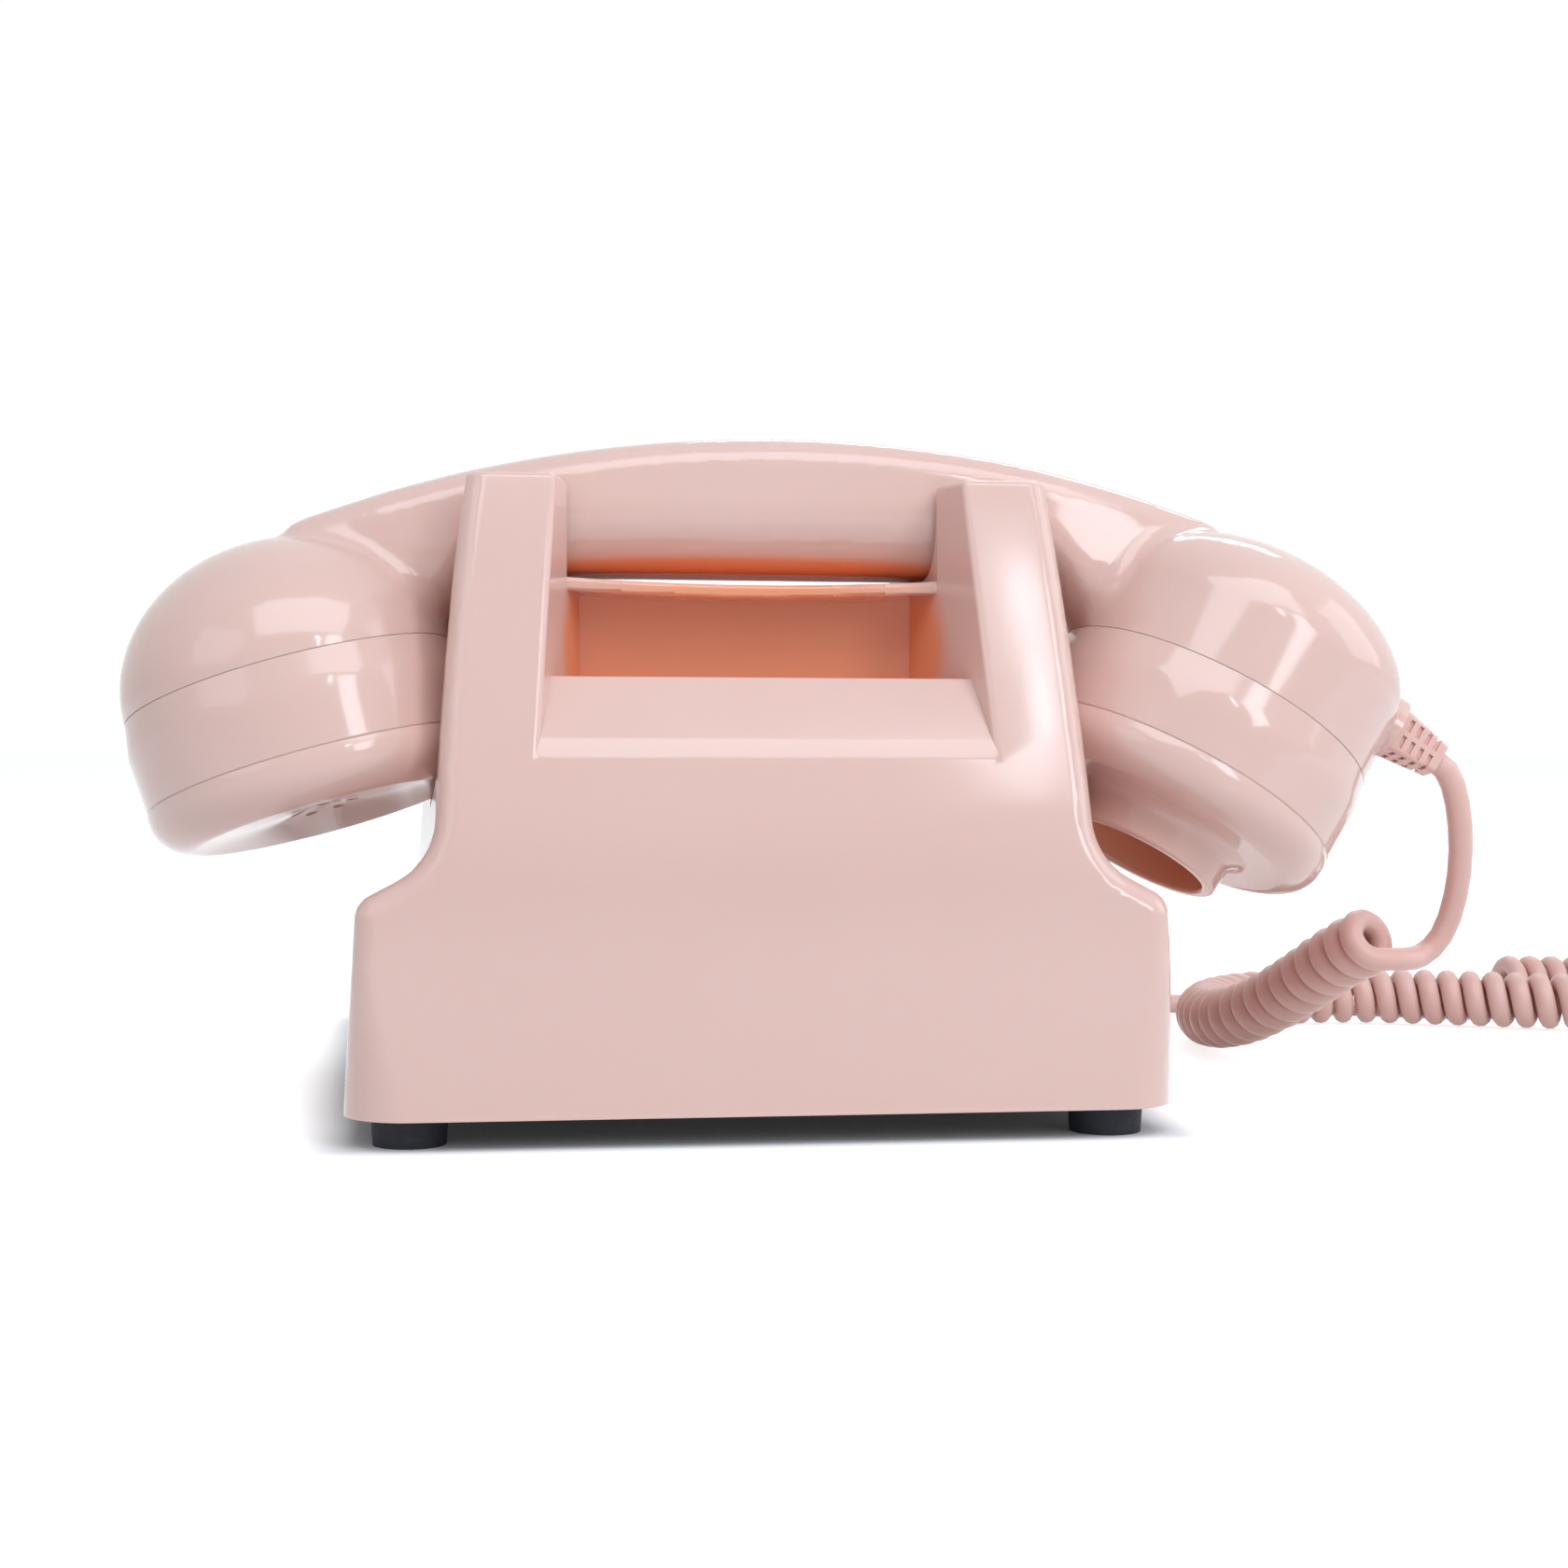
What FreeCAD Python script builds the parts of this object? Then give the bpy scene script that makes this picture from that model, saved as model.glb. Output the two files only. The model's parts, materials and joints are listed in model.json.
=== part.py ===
import FreeCAD, Part
import math
import os
import Sketcher
from FreeCAD import Placement, Rotation, Vector

# Desk telephone: a moulded case with two rear horns, a handset across them, a dial, a bell and a curly cord.
# Frame: +Z up from the desk, +Y to the rear, origin on the desk under the middle of the base.

# Driving dimensions in millimetres and degrees
DIMENSIONS = (
    ("case_bottom", 5.3, "lower edge of the case above the desk"),
    ("case_top", 113.9, "top of the horns"),
    ("case_depth", 196.0, "base from front to rear"),
    ("base_half_width", 70.9, "half width of the base at the rear"),
    ("base_draft", 0.056, "sideways lean of the base wall"),
    ("base_lean", 0.0235, "forward lean of the rear wall below the bend"),
    ("neck_lean", 0.272, "forward lean of the rear wall above the bend"),
    ("neck_start", 50.0, "height of the bend in the rear wall"),
    ("rear_bend", 60.0, "radius of that bend"),
    ("shoulder_height", 39.2, "top of the straight base wall at the rear"),
    ("shoulder_corner", 4.5, "radius of the shoulder's outer corner"),
    ("shoulder_run", 5.1, "straight part of the shoulder"),
    ("shoulder_turn", 62.0, "slope of the shoulder from upright"),
    ("shoulder_fillet", 12.0, "radius between shoulder and neck"),
    ("shoulder_fall", 18.0, "how much lower the shoulder is at the front"),
    ("neck_top_half", 49.6, "half width of the neck above the horns"),
    ("neck_bulge", 0.7, "outward swell of the neck's side"),
    ("flare", 4.0, "how much wider each side is at the front"),
    ("front_edge", 31.0, "top of the upright front wall"),
    ("front_slope", 30.0, "slope of the dial face"),
    ("front_draft", 2.0, "backward lean of the front wall"),
    ("wall", 2.6, "wall of the case"),
    ("case_corner", 4.2, "radius of the rear upright edges"),
    ("foot_corner", 11.0, "radius of the same edges at the desk"),
    ("front_corner", 3.0, "radius of the dial face's edges"),
    ("fill_clear", 1.0, "gap from the feet to the thick rear corners"),
    ("cavity_top", 93.4, "ceiling of the hollow"),
    ("crease_depth", 92.8, "depth of the crease under the grip recess"),
    ("crease_height", 66.0, "height of that crease"),
    ("rim_depth", 83.0, "depth of the recess rim"),
    ("rim_height", 79.0, "height of the recess rim"),
    ("rim_thickness", 2.6, "rim from ledge to pocket"),
    ("pocket_floor", 72.0, "floor of the grip pocket"),
    ("pocket_front", 59.0, "far wall of the grip pocket"),
    ("recess_half", 36.5, "half width of the recess at the rim"),
    ("recess_splay", 0.258, "sideways splay of the recess walls"),
    ("lip_rear", 70.0, "rear face of the grip bar"),
    ("lip_top", 96.6, "top of the grip bar at its ends"),
    ("lip_thickness", 2.3, "thickness of the grip bar"),
    ("lip_sag", 1.1, "dip of the grip bar in the middle"),
    ("trough_half", 14.6, "half width of the cradle channel"),
    ("trough_gap", 0.4, "channel floor under the handle"),
    ("trough_corner", 10.0, "radius of the channel's lower corners"),
    ("boss_radius", 4.0, "screw boss"),
    ("boss_across", 58.0, "screw bosses from the middle"),
    ("boss_along", 58.0, "screw bosses to front and rear"),
    ("screw_radius", 1.5, "shank of the base screws"),
    ("screw_reach", 14.0, "base screw above the plate"),
    ("screw_head", 3.2, "head of the small screws"),
    ("screw_head_height", 1.0, "thickness of a screw head"),
    ("fit_gap", 0.05, "radial gap of a running fit"),
    ("plate_bottom", 5.8, "underside of the base plate"),
    ("plate_thickness", 2.0, "base plate"),
    ("plate_rear_half", 67.5, "half width of the plate at the rear"),
    ("plate_front_half", 71.1, "half width of the plate at the front"),
    ("plate_half_depth", 94.6, "plate from its middle to its ends"),
    ("plate_corner", 8.0, "cut corner of the plate"),
    ("foot_radius", 6.6, "rubber foot"),
    ("foot_taper", 0.4, "narrower sole of the foot"),
    ("foot_across", 60.2, "feet from the middle"),
    ("foot_along", 86.4, "feet to front and rear"),
    ("board_length", 90.0, "circuit board across"),
    ("board_width", 64.0, "circuit board front to rear"),
    ("board_thickness", 1.6, "circuit board"),
    ("board_front", 84.0, "front edge of the circuit board"),
    ("standoff_height", 4.0, "board above the plate"),
    ("standoff_radius", 2.6, "board standoff"),
    ("socket_depth", 17.0, "cord socket into the case"),
    ("socket_width", 15.0, "cord socket front to rear"),
    ("socket_height", 12.0, "cord socket height"),
    ("socket_along", 72.0, "cord sockets in front of the middle"),
    ("socket_bottom", 8.4, "underside of the sockets"),
    ("socket_face", 74.7, "outer face of the sockets from the middle"),
    ("plug_length", 19.0, "handset plug"),
    ("plug_width", 7.6, "handset plug"),
    ("plug_height", 6.6, "handset plug"),
    ("plug_inside", 10.6, "plug inside its socket"),
    ("plug_gap", 0.4, "plug to socket wall"),
    ("gong_radius", 22.0, "bell gong"),
    ("gong_height", 14.0, "bell gong"),
    ("gong_wall", 1.5, "bell gong"),
    ("gong_top", 41.0, "top of the gongs"),
    ("gong_across", 27.0, "gong centres from the middle"),
    ("gong_along", 25.0, "gong centres behind the middle"),
    ("gong_post", 3.0, "gong post"),
    ("clapper_pivot", 62.0, "clapper pivot behind the middle"),
    ("clapper_height", 33.0, "clapper arm above the desk"),
    ("clapper_ball", 3.0, "clapper ball"),
    ("clapper_hub", 4.0, "clapper hub"),
    ("pin_radius", 1.5, "clapper pin"),
    ("coil_radius", 10.0, "bell coil"),
    ("coil_height", 24.0, "bell coil"),
    ("coil_along", 78.0, "bell coil behind the middle"),
    ("bracket_length", 36.0, "bell bracket front to rear"),
    ("bracket_width", 30.0, "bell bracket"),
    ("bracket_thickness", 2.0, "bell bracket"),
    ("hook_across", 38.0, "hook plungers from the middle"),
    ("hook_along", 51.0, "hook plungers behind the middle"),
    ("hook_radius", 3.0, "hook plunger"),
    ("hook_top", 96.7, "plunger tops under the handset"),
    ("hook_bar_top", 84.0, "top of the bar that joins the plungers"),
    ("hook_bar_height", 4.0, "bar that joins the plungers"),
    ("hook_bar_width", 6.0, "bar that joins the plungers"),
    ("guide_radius", 4.1, "bush round a plunger"),
    ("guide_bottom", 89.6, "lower end of the bushes"),
    ("spring_across", 20.0, "hook spring from the middle"),
    ("spring_seat", 62.0, "lower end of the hook spring"),
    ("spring_radius", 3.2, "hook spring, middle of its wire"),
    ("spring_wire", 0.8, "hook spring wire"),
    ("post_radius", 4.6, "spring post"),
    ("dial_along", 42.3, "dial centre in front of the middle"),
    ("dial_flange", 40.5, "dial housing rim"),
    ("dial_rim_height", 2.2, "dial housing rim above the case"),
    ("dial_cup", 36.8, "dial housing inside the case"),
    ("dial_depth", 12.0, "dial housing inside the case"),
    ("dial_face", 4.0, "number plate seat below the case"),
    ("dial_bowl", 35.2, "inside of the dial housing"),
    ("plate_disc", 34.9, "number plate"),
    ("plate_disc_thickness", 1.2, "number plate"),
    ("wheel_radius", 33.6, "finger wheel"),
    ("wheel_bottom", 0.6, "finger wheel above the case"),
    ("wheel_thickness", 2.0, "finger wheel"),
    ("wheel_hole", 5.7, "finger hole"),
    ("wheel_circle", 26.0, "circle of the finger holes"),
    ("wheel_first", 55.0, "angle of the first finger hole, digit one"),
    ("wheel_step", 28.0, "angle between finger holes"),
    ("hub_cap_radius", 15.0, "dial hub cap"),
    ("hub_cap_height", 2.6, "dial hub cap"),
    ("shaft_radius", 2.5, "dial shaft"),
    ("shaft_end", 20.0, "lower end of the dial shaft"),
    ("gear_module", 0.75, "dial gears"),
    ("gear_teeth", 48.0, "dial gear"),
    ("pinion_teeth", 12.0, "governor pinion"),
    ("gear_top", 13.5, "dial gear below the case"),
    ("gear_thickness", 2.5, "dial gear"),
    ("governor_shaft", 1.5, "governor shaft"),
    ("governor_wheel", 9.0, "governor weights"),
    ("governor_cup", 12.0, "governor cup"),
    ("stop_angle", 25.0, "finger stop from the right, clockwise"),
    ("handset_along", 54.0, "handle middle behind the case middle"),
    ("handset_height", 110.0, "handle middle above the desk"),
    ("handset_roll", 8.4, "roll of the handset in its cradle"),
    ("handle_top", 11.4, "handle crown above its middle"),
    ("handle_bottom", 12.4, "handle underside below its middle"),
    ("handle_half", 13.5, "half width of the handle"),
    ("handle_crown", 6.6, "crown from the middle, to the mouth side"),
    ("handle_arc", 235.0, "radius of the handle's back"),
    ("handle_straight", 48.0, "handle of full width, each side"),
    ("handle_taper", 60.0, "radius of the handle's tapered ends"),
    ("handle_dive", 22.0, "radius that takes the back down into the bowls"),
    ("corner_run", 10.5, "length of the corner under each end"),
    ("corner_drop", 8.2, "depth of the corner under each end"),
    ("ear_corner", 44.0, "start of the corner at the ear end"),
    ("mouth_corner", 52.0, "start of the corner at the mouth end"),
    ("handle_ear_end", 88.0, "handle end in the ear bowl"),
    ("handle_mouth_end", 95.0, "handle end in the mouth bowl"),
    ("ear_across", 81.5, "ear bowl centre"),
    ("ear_drop", 32.85, "ear bowl centre below the handle"),
    ("ear_tilt", 15.6, "ear bowl tilt"),
    ("ear_radius", 29.4, "ear bowl"),
    ("ear_dome", 25.5, "ear bowl height"),
    ("ear_straight", 0.3, "straight wall of the ear bowl"),
    ("ear_ring", 16.2, "ear ring height"),
    ("ear_face", 24.6, "ear cap face below the bowl"),
    ("mouth_across", 87.7, "mouth bowl centre"),
    ("mouth_drop", 37.2, "mouth bowl centre below the handle"),
    ("mouth_tilt", 30.0, "mouth bowl tilt"),
    ("mouth_radius", 30.8, "mouth bowl"),
    ("mouth_dome", 19.4, "mouth dome height"),
    ("mouth_straight", 12.6, "straight wall of the mouth bowl"),
    ("mouth_ring", 15.8, "mouth ring height"),
    ("mouth_face", 23.7, "mouth cap face below the bowl"),
    ("ear_scoop", 29.7, "room for the ear bowl beside the neck"),
    ("mouth_scoop", 29.5, "room for the mouth bowl beside the neck"),
    ("scoop_gap", 0.8, "room under the cap faces"),
    ("cup_radius", 16.0, "mouth cup"),
    ("cup_bore", 13.2, "mouth cup"),
    ("cup_end", 31.0, "mouth cup end below the bowl"),
    ("bowl_wall", 2.8, "wall of the bowls and rings"),
    ("ring_swell", 0.9, "belly of a ring"),
    ("belly_drop", 6.4, "belly of a ring below the bowl"),
    ("ring_draft", 0.6, "taper of a ring"),
    ("seam", 0.22, "chamfer that draws a seam"),
    ("capsule_radius", 24.0, "receiver and transmitter"),
    ("capsule_height", 9.0, "receiver and transmitter"),
    ("blend", 5.0, "fillet between handle and bowls"),
    ("wire_bore", 3.6, "wire channel in the handle"),
    ("wire_radius", 1.5, "wires in the handle"),
    ("sleeve_across", 122.6, "strain relief root"),
    ("sleeve_drop", 40.5, "strain relief root below the handle"),
    ("sleeve_slope", 32.7, "strain relief below level"),
    ("sleeve_length", 10.4, "strain relief"),
    ("sleeve_root", 8.6, "strain relief root width"),
    ("sleeve_tip", 6.0, "strain relief tip width"),
    ("sleeve_boss", 6.4, "boss that holds the strain relief"),
    ("cord_diameter", 4.6, "cord"),
    ("curl_radius", 4.3, "curl, middle of the cord"),
    ("curl_gap", 0.36, "gap between curls"),
)

doc = FreeCAD.newDocument("DeskTelephone")
sheet = doc.addObject("Spreadsheet::Sheet", "Sheet")
for row, (alias, value, note) in enumerate(DIMENSIONS, start=1):
    sheet.set("A%d" % row, note)
    sheet.set("B%d" % row, str(value))
    sheet.setAlias("B%d" % row, alias)
doc.recompute()

NAMES = {alias for alias, value, note in DIMENSIONS}
NODES = []


def size(alias):
    """A driving dimension, read from the sheet."""
    return float(sheet.get(alias))


def size_of(text):
    """Value of a sum such as 'wall + fit_gap - 2.0'."""
    total = 0.0
    sign = 1.0
    for token in text.split():
        if token in "+-":
            sign = 1.0 if token == "+" else -1.0
        elif token in NAMES:
            total += sign * size(token)
        else:
            total += sign * float(token)
    return total


def binding(text):
    """The same sum with each dimension's name pointed at the sheet."""
    return " ".join("Sheet." + token if token in NAMES else token for token in text.split())


def bind(item, **sums):
    """Bind an object's properties to sums of driving dimensions."""
    for name, text in sums.items():
        item.setExpression(name, binding(text))


def keep(item, label):
    """Name a finished sub-part, which is written to a file of that name."""
    item.Label = label
    NODES.append(item)
    return item


def solid_part(label, shape, placement=None):
    """A sub-part whose shape is worked out here from the sheet's sizes."""
    item = doc.addObject("Part::Feature", label)
    item.Shape = shape
    if placement is not None:
        item.Placement = placement
    return keep(item, label)


def at(across, along, height):
    """An unturned placement."""
    return Placement(Vector(across, along, height), Rotation())


# Plain pieces: cylinders, boxes, groups and cuts bound to the sheet

def cylinder(name, radius, height, placement):
    item = doc.addObject("Part::Cylinder", name)
    bind(item, Radius=radius, Height=height)
    item.Placement = placement
    return item


def box(name, length, width, height, placement):
    item = doc.addObject("Part::Box", name)
    bind(item, Length=length, Width=width, Height=height)
    item.Placement = placement
    return item


def group(label, items):
    """Separate solids that share one node."""
    item = doc.addObject("Part::Compound", label)
    item.Links = items
    return keep(item, label)


def joined(name, items):
    item = doc.addObject("Part::MultiFuse", name)
    item.Shapes = items
    return item


def drilled(name, base, tools):
    item = doc.addObject("Part::Cut", name)
    item.Base = base
    item.Tool = tools[0] if len(tools) == 1 else joined(name + "_tools", tools)
    return item


# Bodies drawn in a sketch

def origin_plane(body, role):
    return [item for item in body.Origin.OriginFeatures if item.Role == role][0]


def corner_sketch(body, role, corners):
    """A closed outline of straight lines on an origin plane, each corner bound to two sums."""
    sketch = body.newObject("Sketcher::SketchObject", body.Name + "_outline")
    sketch.AttachmentSupport = [(origin_plane(body, role), "")]
    sketch.MapMode = "FlatFace"
    points = [Vector(size_of(first), size_of(second), 0) for first, second in corners]
    count = len(points)
    for index in range(count):
        sketch.addGeometry(Part.LineSegment(points[index], points[(index + 1) % count]))
    for index in range(count):
        sketch.addConstraint(Sketcher.Constraint("Coincident", index, 2, (index + 1) % count, 1))
    directions = (("DistanceX", -2), ("DistanceY", -1))
    for index, corner in enumerate(corners):
        for text, value, (kind, axis) in zip(corner, points[index], directions):
            if abs(value) < 1e-9:
                sketch.addConstraint(Sketcher.Constraint("PointOnObject", index, 1, axis))
            else:
                rule = sketch.addConstraint(Sketcher.Constraint(kind, -1, 1, index, 1, value))
                sketch.setExpression("Constraints[%d]" % rule, binding(text))
    return sketch


def turned(label, corners, placement):
    """A turned piece: an outline of radius and height, spun about its own upright axis."""
    body = doc.addObject("PartDesign::Body", label)
    sketch = corner_sketch(body, "XZ_Plane", corners)
    spin = body.newObject("PartDesign::Revolution", label + "_spin")
    spin.Profile = sketch
    spin.ReferenceAxis = (sketch, ["V_Axis"])
    spin.Angle = 360.0
    body.Placement = placement
    return body


def plate(label, corners, thickness, placement):
    """A flat plate: an outline padded upwards."""
    body = doc.addObject("PartDesign::Body", label)
    pad = body.newObject("PartDesign::Pad", label + "_pad")
    pad.Profile = corner_sketch(body, "XY_Plane", corners)
    bind(pad, Length=thickness)
    body.Placement = placement
    return body


def pierce(body, centres, radius):
    """Round holes right through a body, upright."""
    sketch = body.newObject("Sketcher::SketchObject", body.Name + "_holes")
    sketch.AttachmentSupport = [(origin_plane(body, "XY_Plane"), "")]
    sketch.MapMode = "FlatFace"
    for centre in centres:
        circle = sketch.addGeometry(Part.Circle(centre, Vector(0, 0, 1), size_of(radius)))
        rule = sketch.addConstraint(Sketcher.Constraint("Radius", circle, size_of(radius)))
        sketch.setExpression("Constraints[%d]" % rule, binding(radius))
    cut = body.newObject("PartDesign::Pocket", body.Name + "_cut")
    cut.Profile = sketch
    cut.Type = "ThroughAll"
    cut.Midplane = True
    return body


# Outlines of lines and arcs

def outline_edges(start, steps, place):
    """Edges from a start point through steps: (x, y) is a line, (mx, my, x, y) an arc through its middle."""
    edges = []
    here = start
    for step in steps:
        if len(step) == 2:
            edges.append(Part.LineSegment(place(*here), place(*step)).toShape())
        else:
            edges.append(Part.Arc(place(*here), place(*step[:2]), place(*step[2:])).toShape())
        here = step[-2:]
    return edges


def arc_by_heading(start, heading, turn, radius):
    """Middle and end of an arc that leaves a point on a heading and turns left, or right when negative."""
    side = 1 if turn > 0 else -1
    spoke = math.radians(heading - side * 90)
    centre = (start[0] - radius * math.cos(spoke), start[1] - radius * math.sin(spoke))

    def point(part):
        angle = spoke + math.radians(part)
        return (centre[0] + radius * math.cos(angle), centre[1] + radius * math.sin(angle))

    return point(turn / 2) + point(turn)


def prism(start, steps, place, sweep):
    """A solid swept from a closed outline."""
    return Part.Face(Part.Wire(outline_edges(start, steps, place))).extrude(sweep)


def across_prism(start, steps, reach):
    """A solid across the case from an outline of depth and height."""
    return prism(start, steps, lambda depth, height: Vector(-reach, depth, height), Vector(2 * reach, 0, 0))


def spun(start, steps):
    """A solid spun about the upright axis from an outline of radius and height."""
    face = Part.Face(Part.Wire(outline_edges(start, steps, lambda radius, height: Vector(radius, 0, height))))
    return face.revolve(Vector(0, 0, 0), Vector(0, 0, 1), 360)


def middle_of(edge):
    return edge.valueAt((edge.FirstParameter + edge.LastParameter) / 2)


def fillet_where(shape, radius, chosen):
    """Round the edges that a test picks by their middle point."""
    edges = [edge for edge in shape.Edges if chosen(middle_of(edge), edge)]
    rounded = shape.makeFillet(radius, edges)
    if not rounded.isValid():
        raise RuntimeError("a fillet failed")
    return rounded


# Case

HALF_DEPTH = size("case_depth") / 2
BEYOND = 8.0
FAR = 140.0


def rear_at(height):
    """Depth of the rear wall at a height."""
    below = min(height, size("neck_start")) - size("case_bottom")
    above = max(0.0, height - size("neck_start"))
    return HALF_DEPTH - size("base_lean") * below - size("neck_lean") * above


def slope_at(depth):
    """Height of the dial face at a depth."""
    rise = math.tan(math.radians(size("front_slope")))
    return size("front_edge") + (depth + HALF_DEPTH - size("front_draft")) * rise


def case_outline(depth, widen, drop):
    """Closed outline of the case across its width: base wall, shoulder, neck and flat top."""
    top = size("case_top") + BEYOND
    foot = size("base_half_width") + widen
    shoulder = size("shoulder_height") - drop
    edge = foot - size("base_draft") * (shoulder - size("case_bottom"))
    lean = math.degrees(math.atan(size("base_draft")))
    turn = size("shoulder_turn")
    neck_angle = 4.0
    corner = arc_by_heading((edge, shoulder), 90 + lean, turn - lean, size("shoulder_corner"))
    heading = math.radians(90 + turn)
    run_end = (corner[2] + size("shoulder_run") * math.cos(heading),
               corner[3] + size("shoulder_run") * math.sin(heading))
    fillet = arc_by_heading(run_end, 90 + turn, neck_angle - turn, size("shoulder_fillet"))
    neck = size("neck_top_half") + widen
    side = ((fillet[2] + neck) / 2 + size("neck_bulge"), (fillet[3] + top) / 2)
    right = [(edge, shoulder), corner, run_end, fillet, side + (neck, top)]
    left = [(-neck, top),
            (-side[0], side[1], -fillet[2], fillet[3]),
            (-fillet[0], fillet[1], -run_end[0], run_end[1]),
            (-corner[2], corner[3]),
            (-corner[0], corner[1], -edge, shoulder),
            (-foot, size("case_bottom")),
            (foot, size("case_bottom"))]
    return Part.Wire(outline_edges((foot, size("case_bottom")), right + left,
                                   lambda across, height: Vector(across, depth, height)))


def case_block(inset, bottom, top):
    """The case as a full solid, or the space inside its walls when inset."""
    rear = case_outline(HALF_DEPTH + BEYOND, -0.1 - inset, -0.4 + inset / 2)
    front = case_outline(-HALF_DEPTH - BEYOND, size("flare") - inset, size("shoulder_fall") + inset / 2)
    sides = Part.makeLoft([rear, front], True, True)
    base_angle = math.degrees(math.atan(size("base_lean")))
    neck_angle = math.degrees(math.atan(size("neck_lean")))
    reach = size("rear_bend") * math.tan(math.radians(neck_angle - base_angle) / 2)
    bend_start = (rear_at(size("neck_start")) - inset + reach * math.sin(math.radians(base_angle)),
                  size("neck_start") - reach * math.cos(math.radians(base_angle)))
    bend = arc_by_heading(bend_start, 90 + base_angle, neck_angle - base_angle, size("rear_bend"))
    slope = math.radians(size("front_slope"))
    lowered = inset / math.cos(slope)
    front_top = -HALF_DEPTH + size("front_draft") + (top + lowered - size("front_edge")) / math.tan(slope)
    wall_top = -HALF_DEPTH + size("front_draft") + inset
    start = (rear_at(bottom) - inset, bottom)
    steps = [bend_start, bend, (rear_at(top) - inset, top), (front_top, top),
             (wall_top, slope_at(wall_top) - lowered), (-HALF_DEPTH + inset, bottom), start]
    return sides.common(across_prism(start, steps, FAR)).Solids[0]


def rounded_case():
    """The outer form, its upright rear edges rounder towards the desk."""
    block = doc.addObject("Part::Feature", "case_block")
    block.Shape = case_block(0.0, size("case_bottom"), size("case_top"))
    rounding = doc.addObject("Part::Fillet", "case_rounded")
    rounding.Base = block
    chosen = []
    for number, edge in enumerate(block.Shape.Edges, start=1):
        middle = middle_of(edge)
        first = edge.valueAt(edge.FirstParameter).z
        last = edge.valueAt(edge.LastParameter).z
        on_rear = abs(middle.y - rear_at(middle.z)) < 1.0 and abs(middle.x) > 45.0 and middle.z > 6.0
        on_slope = abs(middle.z - slope_at(middle.y)) < 0.5 and abs(middle.x) > 40.0
        radii = [size("case_corner"), size("case_corner")]
        if min(first, last) < size("case_bottom") + 1.0:
            radii[0 if first < last else 1] = size("foot_corner")
        if on_rear:
            chosen.append((number, radii[0], radii[1]))
        elif on_slope:
            chosen.append((number, size("front_corner"), size("front_corner")))
    rounding.Edges = chosen
    doc.recompute()
    return rounding.Shape.Solids[0]


def recess_half_at(depth):
    """Half width of the recess at a depth."""
    return size("recess_half") + size("recess_splay") * (depth - size("rim_depth"))


def recess_plan():
    """The recess seen from above: its walls come together towards the pocket."""
    near = size("pocket_front")
    start = (-recess_half_at(near), near)
    steps = [(recess_half_at(near), near), (recess_half_at(FAR), FAR), (-recess_half_at(FAR), FAR), start]
    return prism(start, steps, lambda across, depth: Vector(across, depth, 0), Vector(0, 0, FAR))


def recess_cut():
    """Ledge, rim and pocket behind the grip bar."""
    pocket_rear = size("rim_depth") - size("rim_thickness")
    start = (size("crease_depth"), size("crease_height"))
    steps = [(size("rim_depth"), size("rim_height")),
             (pocket_rear, size("rim_height") - 0.6),
             (pocket_rear, size("pocket_floor")),
             (size("pocket_front"), size("pocket_floor")),
             (size("pocket_front"), FAR),
             (FAR, FAR),
             (FAR, size("crease_height")),
             start]
    return across_prism(start, steps, FAR).common(recess_plan()).cut(over_pocket())


PLATFORM_HALF = recess_half_at(size("lip_rear"))


def over_pocket():
    """Everything above the underside of the grip bar, which dips a little in the middle."""
    under = size("lip_top") - size("lip_thickness")
    start = (-FAR, under)
    steps = [(-PLATFORM_HALF, under), (0.0, under - size("lip_sag"), PLATFORM_HALF, under), (FAR, under),
             (FAR, FAR), (-FAR, FAR), start]
    return prism(start, steps, lambda across, height: Vector(across, -FAR, height),
                 Vector(0, FAR + size("lip_rear"), 0))


def platform_cut():
    """The gap between the ears, down to the top of the grip bar."""
    top = size("lip_top")
    start = (-PLATFORM_HALF, FAR)
    steps = [(-PLATFORM_HALF, top), (0.0, top - size("lip_sag"), PLATFORM_HALF, top),
             (PLATFORM_HALF, FAR), start]
    return prism(start, steps, lambda across, height: Vector(across, -HALF_DEPTH, height),
                 Vector(0, HALF_DEPTH + size("lip_rear"), 0))


HANDSET = Placement(Vector(0, size("handset_along"), size("handset_height")),
                    Rotation(Vector(1, 0, 0), size("handset_roll")))
EAR = HANDSET.multiply(Placement(Vector(size("ear_across"), 0, -size("ear_drop")),
                                 Rotation(Vector(0, 1, 0), size("ear_tilt"))))
MOUTH = HANDSET.multiply(Placement(Vector(-size("mouth_across"), 0, -size("mouth_drop")),
                                   Rotation(Vector(0, 1, 0), -size("mouth_tilt"))))


def trough_cut():
    """The channel that the handle lies in, rolled with the handset."""
    half = size("trough_half")
    floor = -size("handle_bottom") - size("trough_gap")
    radius = size("trough_corner")
    lean = math.sqrt(0.5) * radius
    start = (-half, BEYOND * 4)
    steps = [(-half, floor + radius),
             (-half + radius - lean, floor + radius - lean, -half + radius, floor),
             (half - radius, floor),
             (half - radius + lean, floor + radius - lean, half, floor + radius),
             (half, BEYOND * 4),
             start]
    channel = across_prism(start, steps, FAR)
    channel.Placement = HANDSET
    return channel


def placed(shape, placement):
    shape.Placement = placement
    return shape


def handle_ends(grow):
    """Room for the corners under both ends of the handle, in two steps."""
    rooms = []
    half = size("trough_half") + grow
    for start, depth in ((44.8, 14.2), (46.0, 24.0)):
        for side in (-1, 1):
            corner = Vector(start - grow if side > 0 else grow - start - FAR, -half, -depth - grow)
            rooms.append(placed(Part.makeBox(FAR, 2 * half, FAR, corner), HANDSET))
    return rooms


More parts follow.
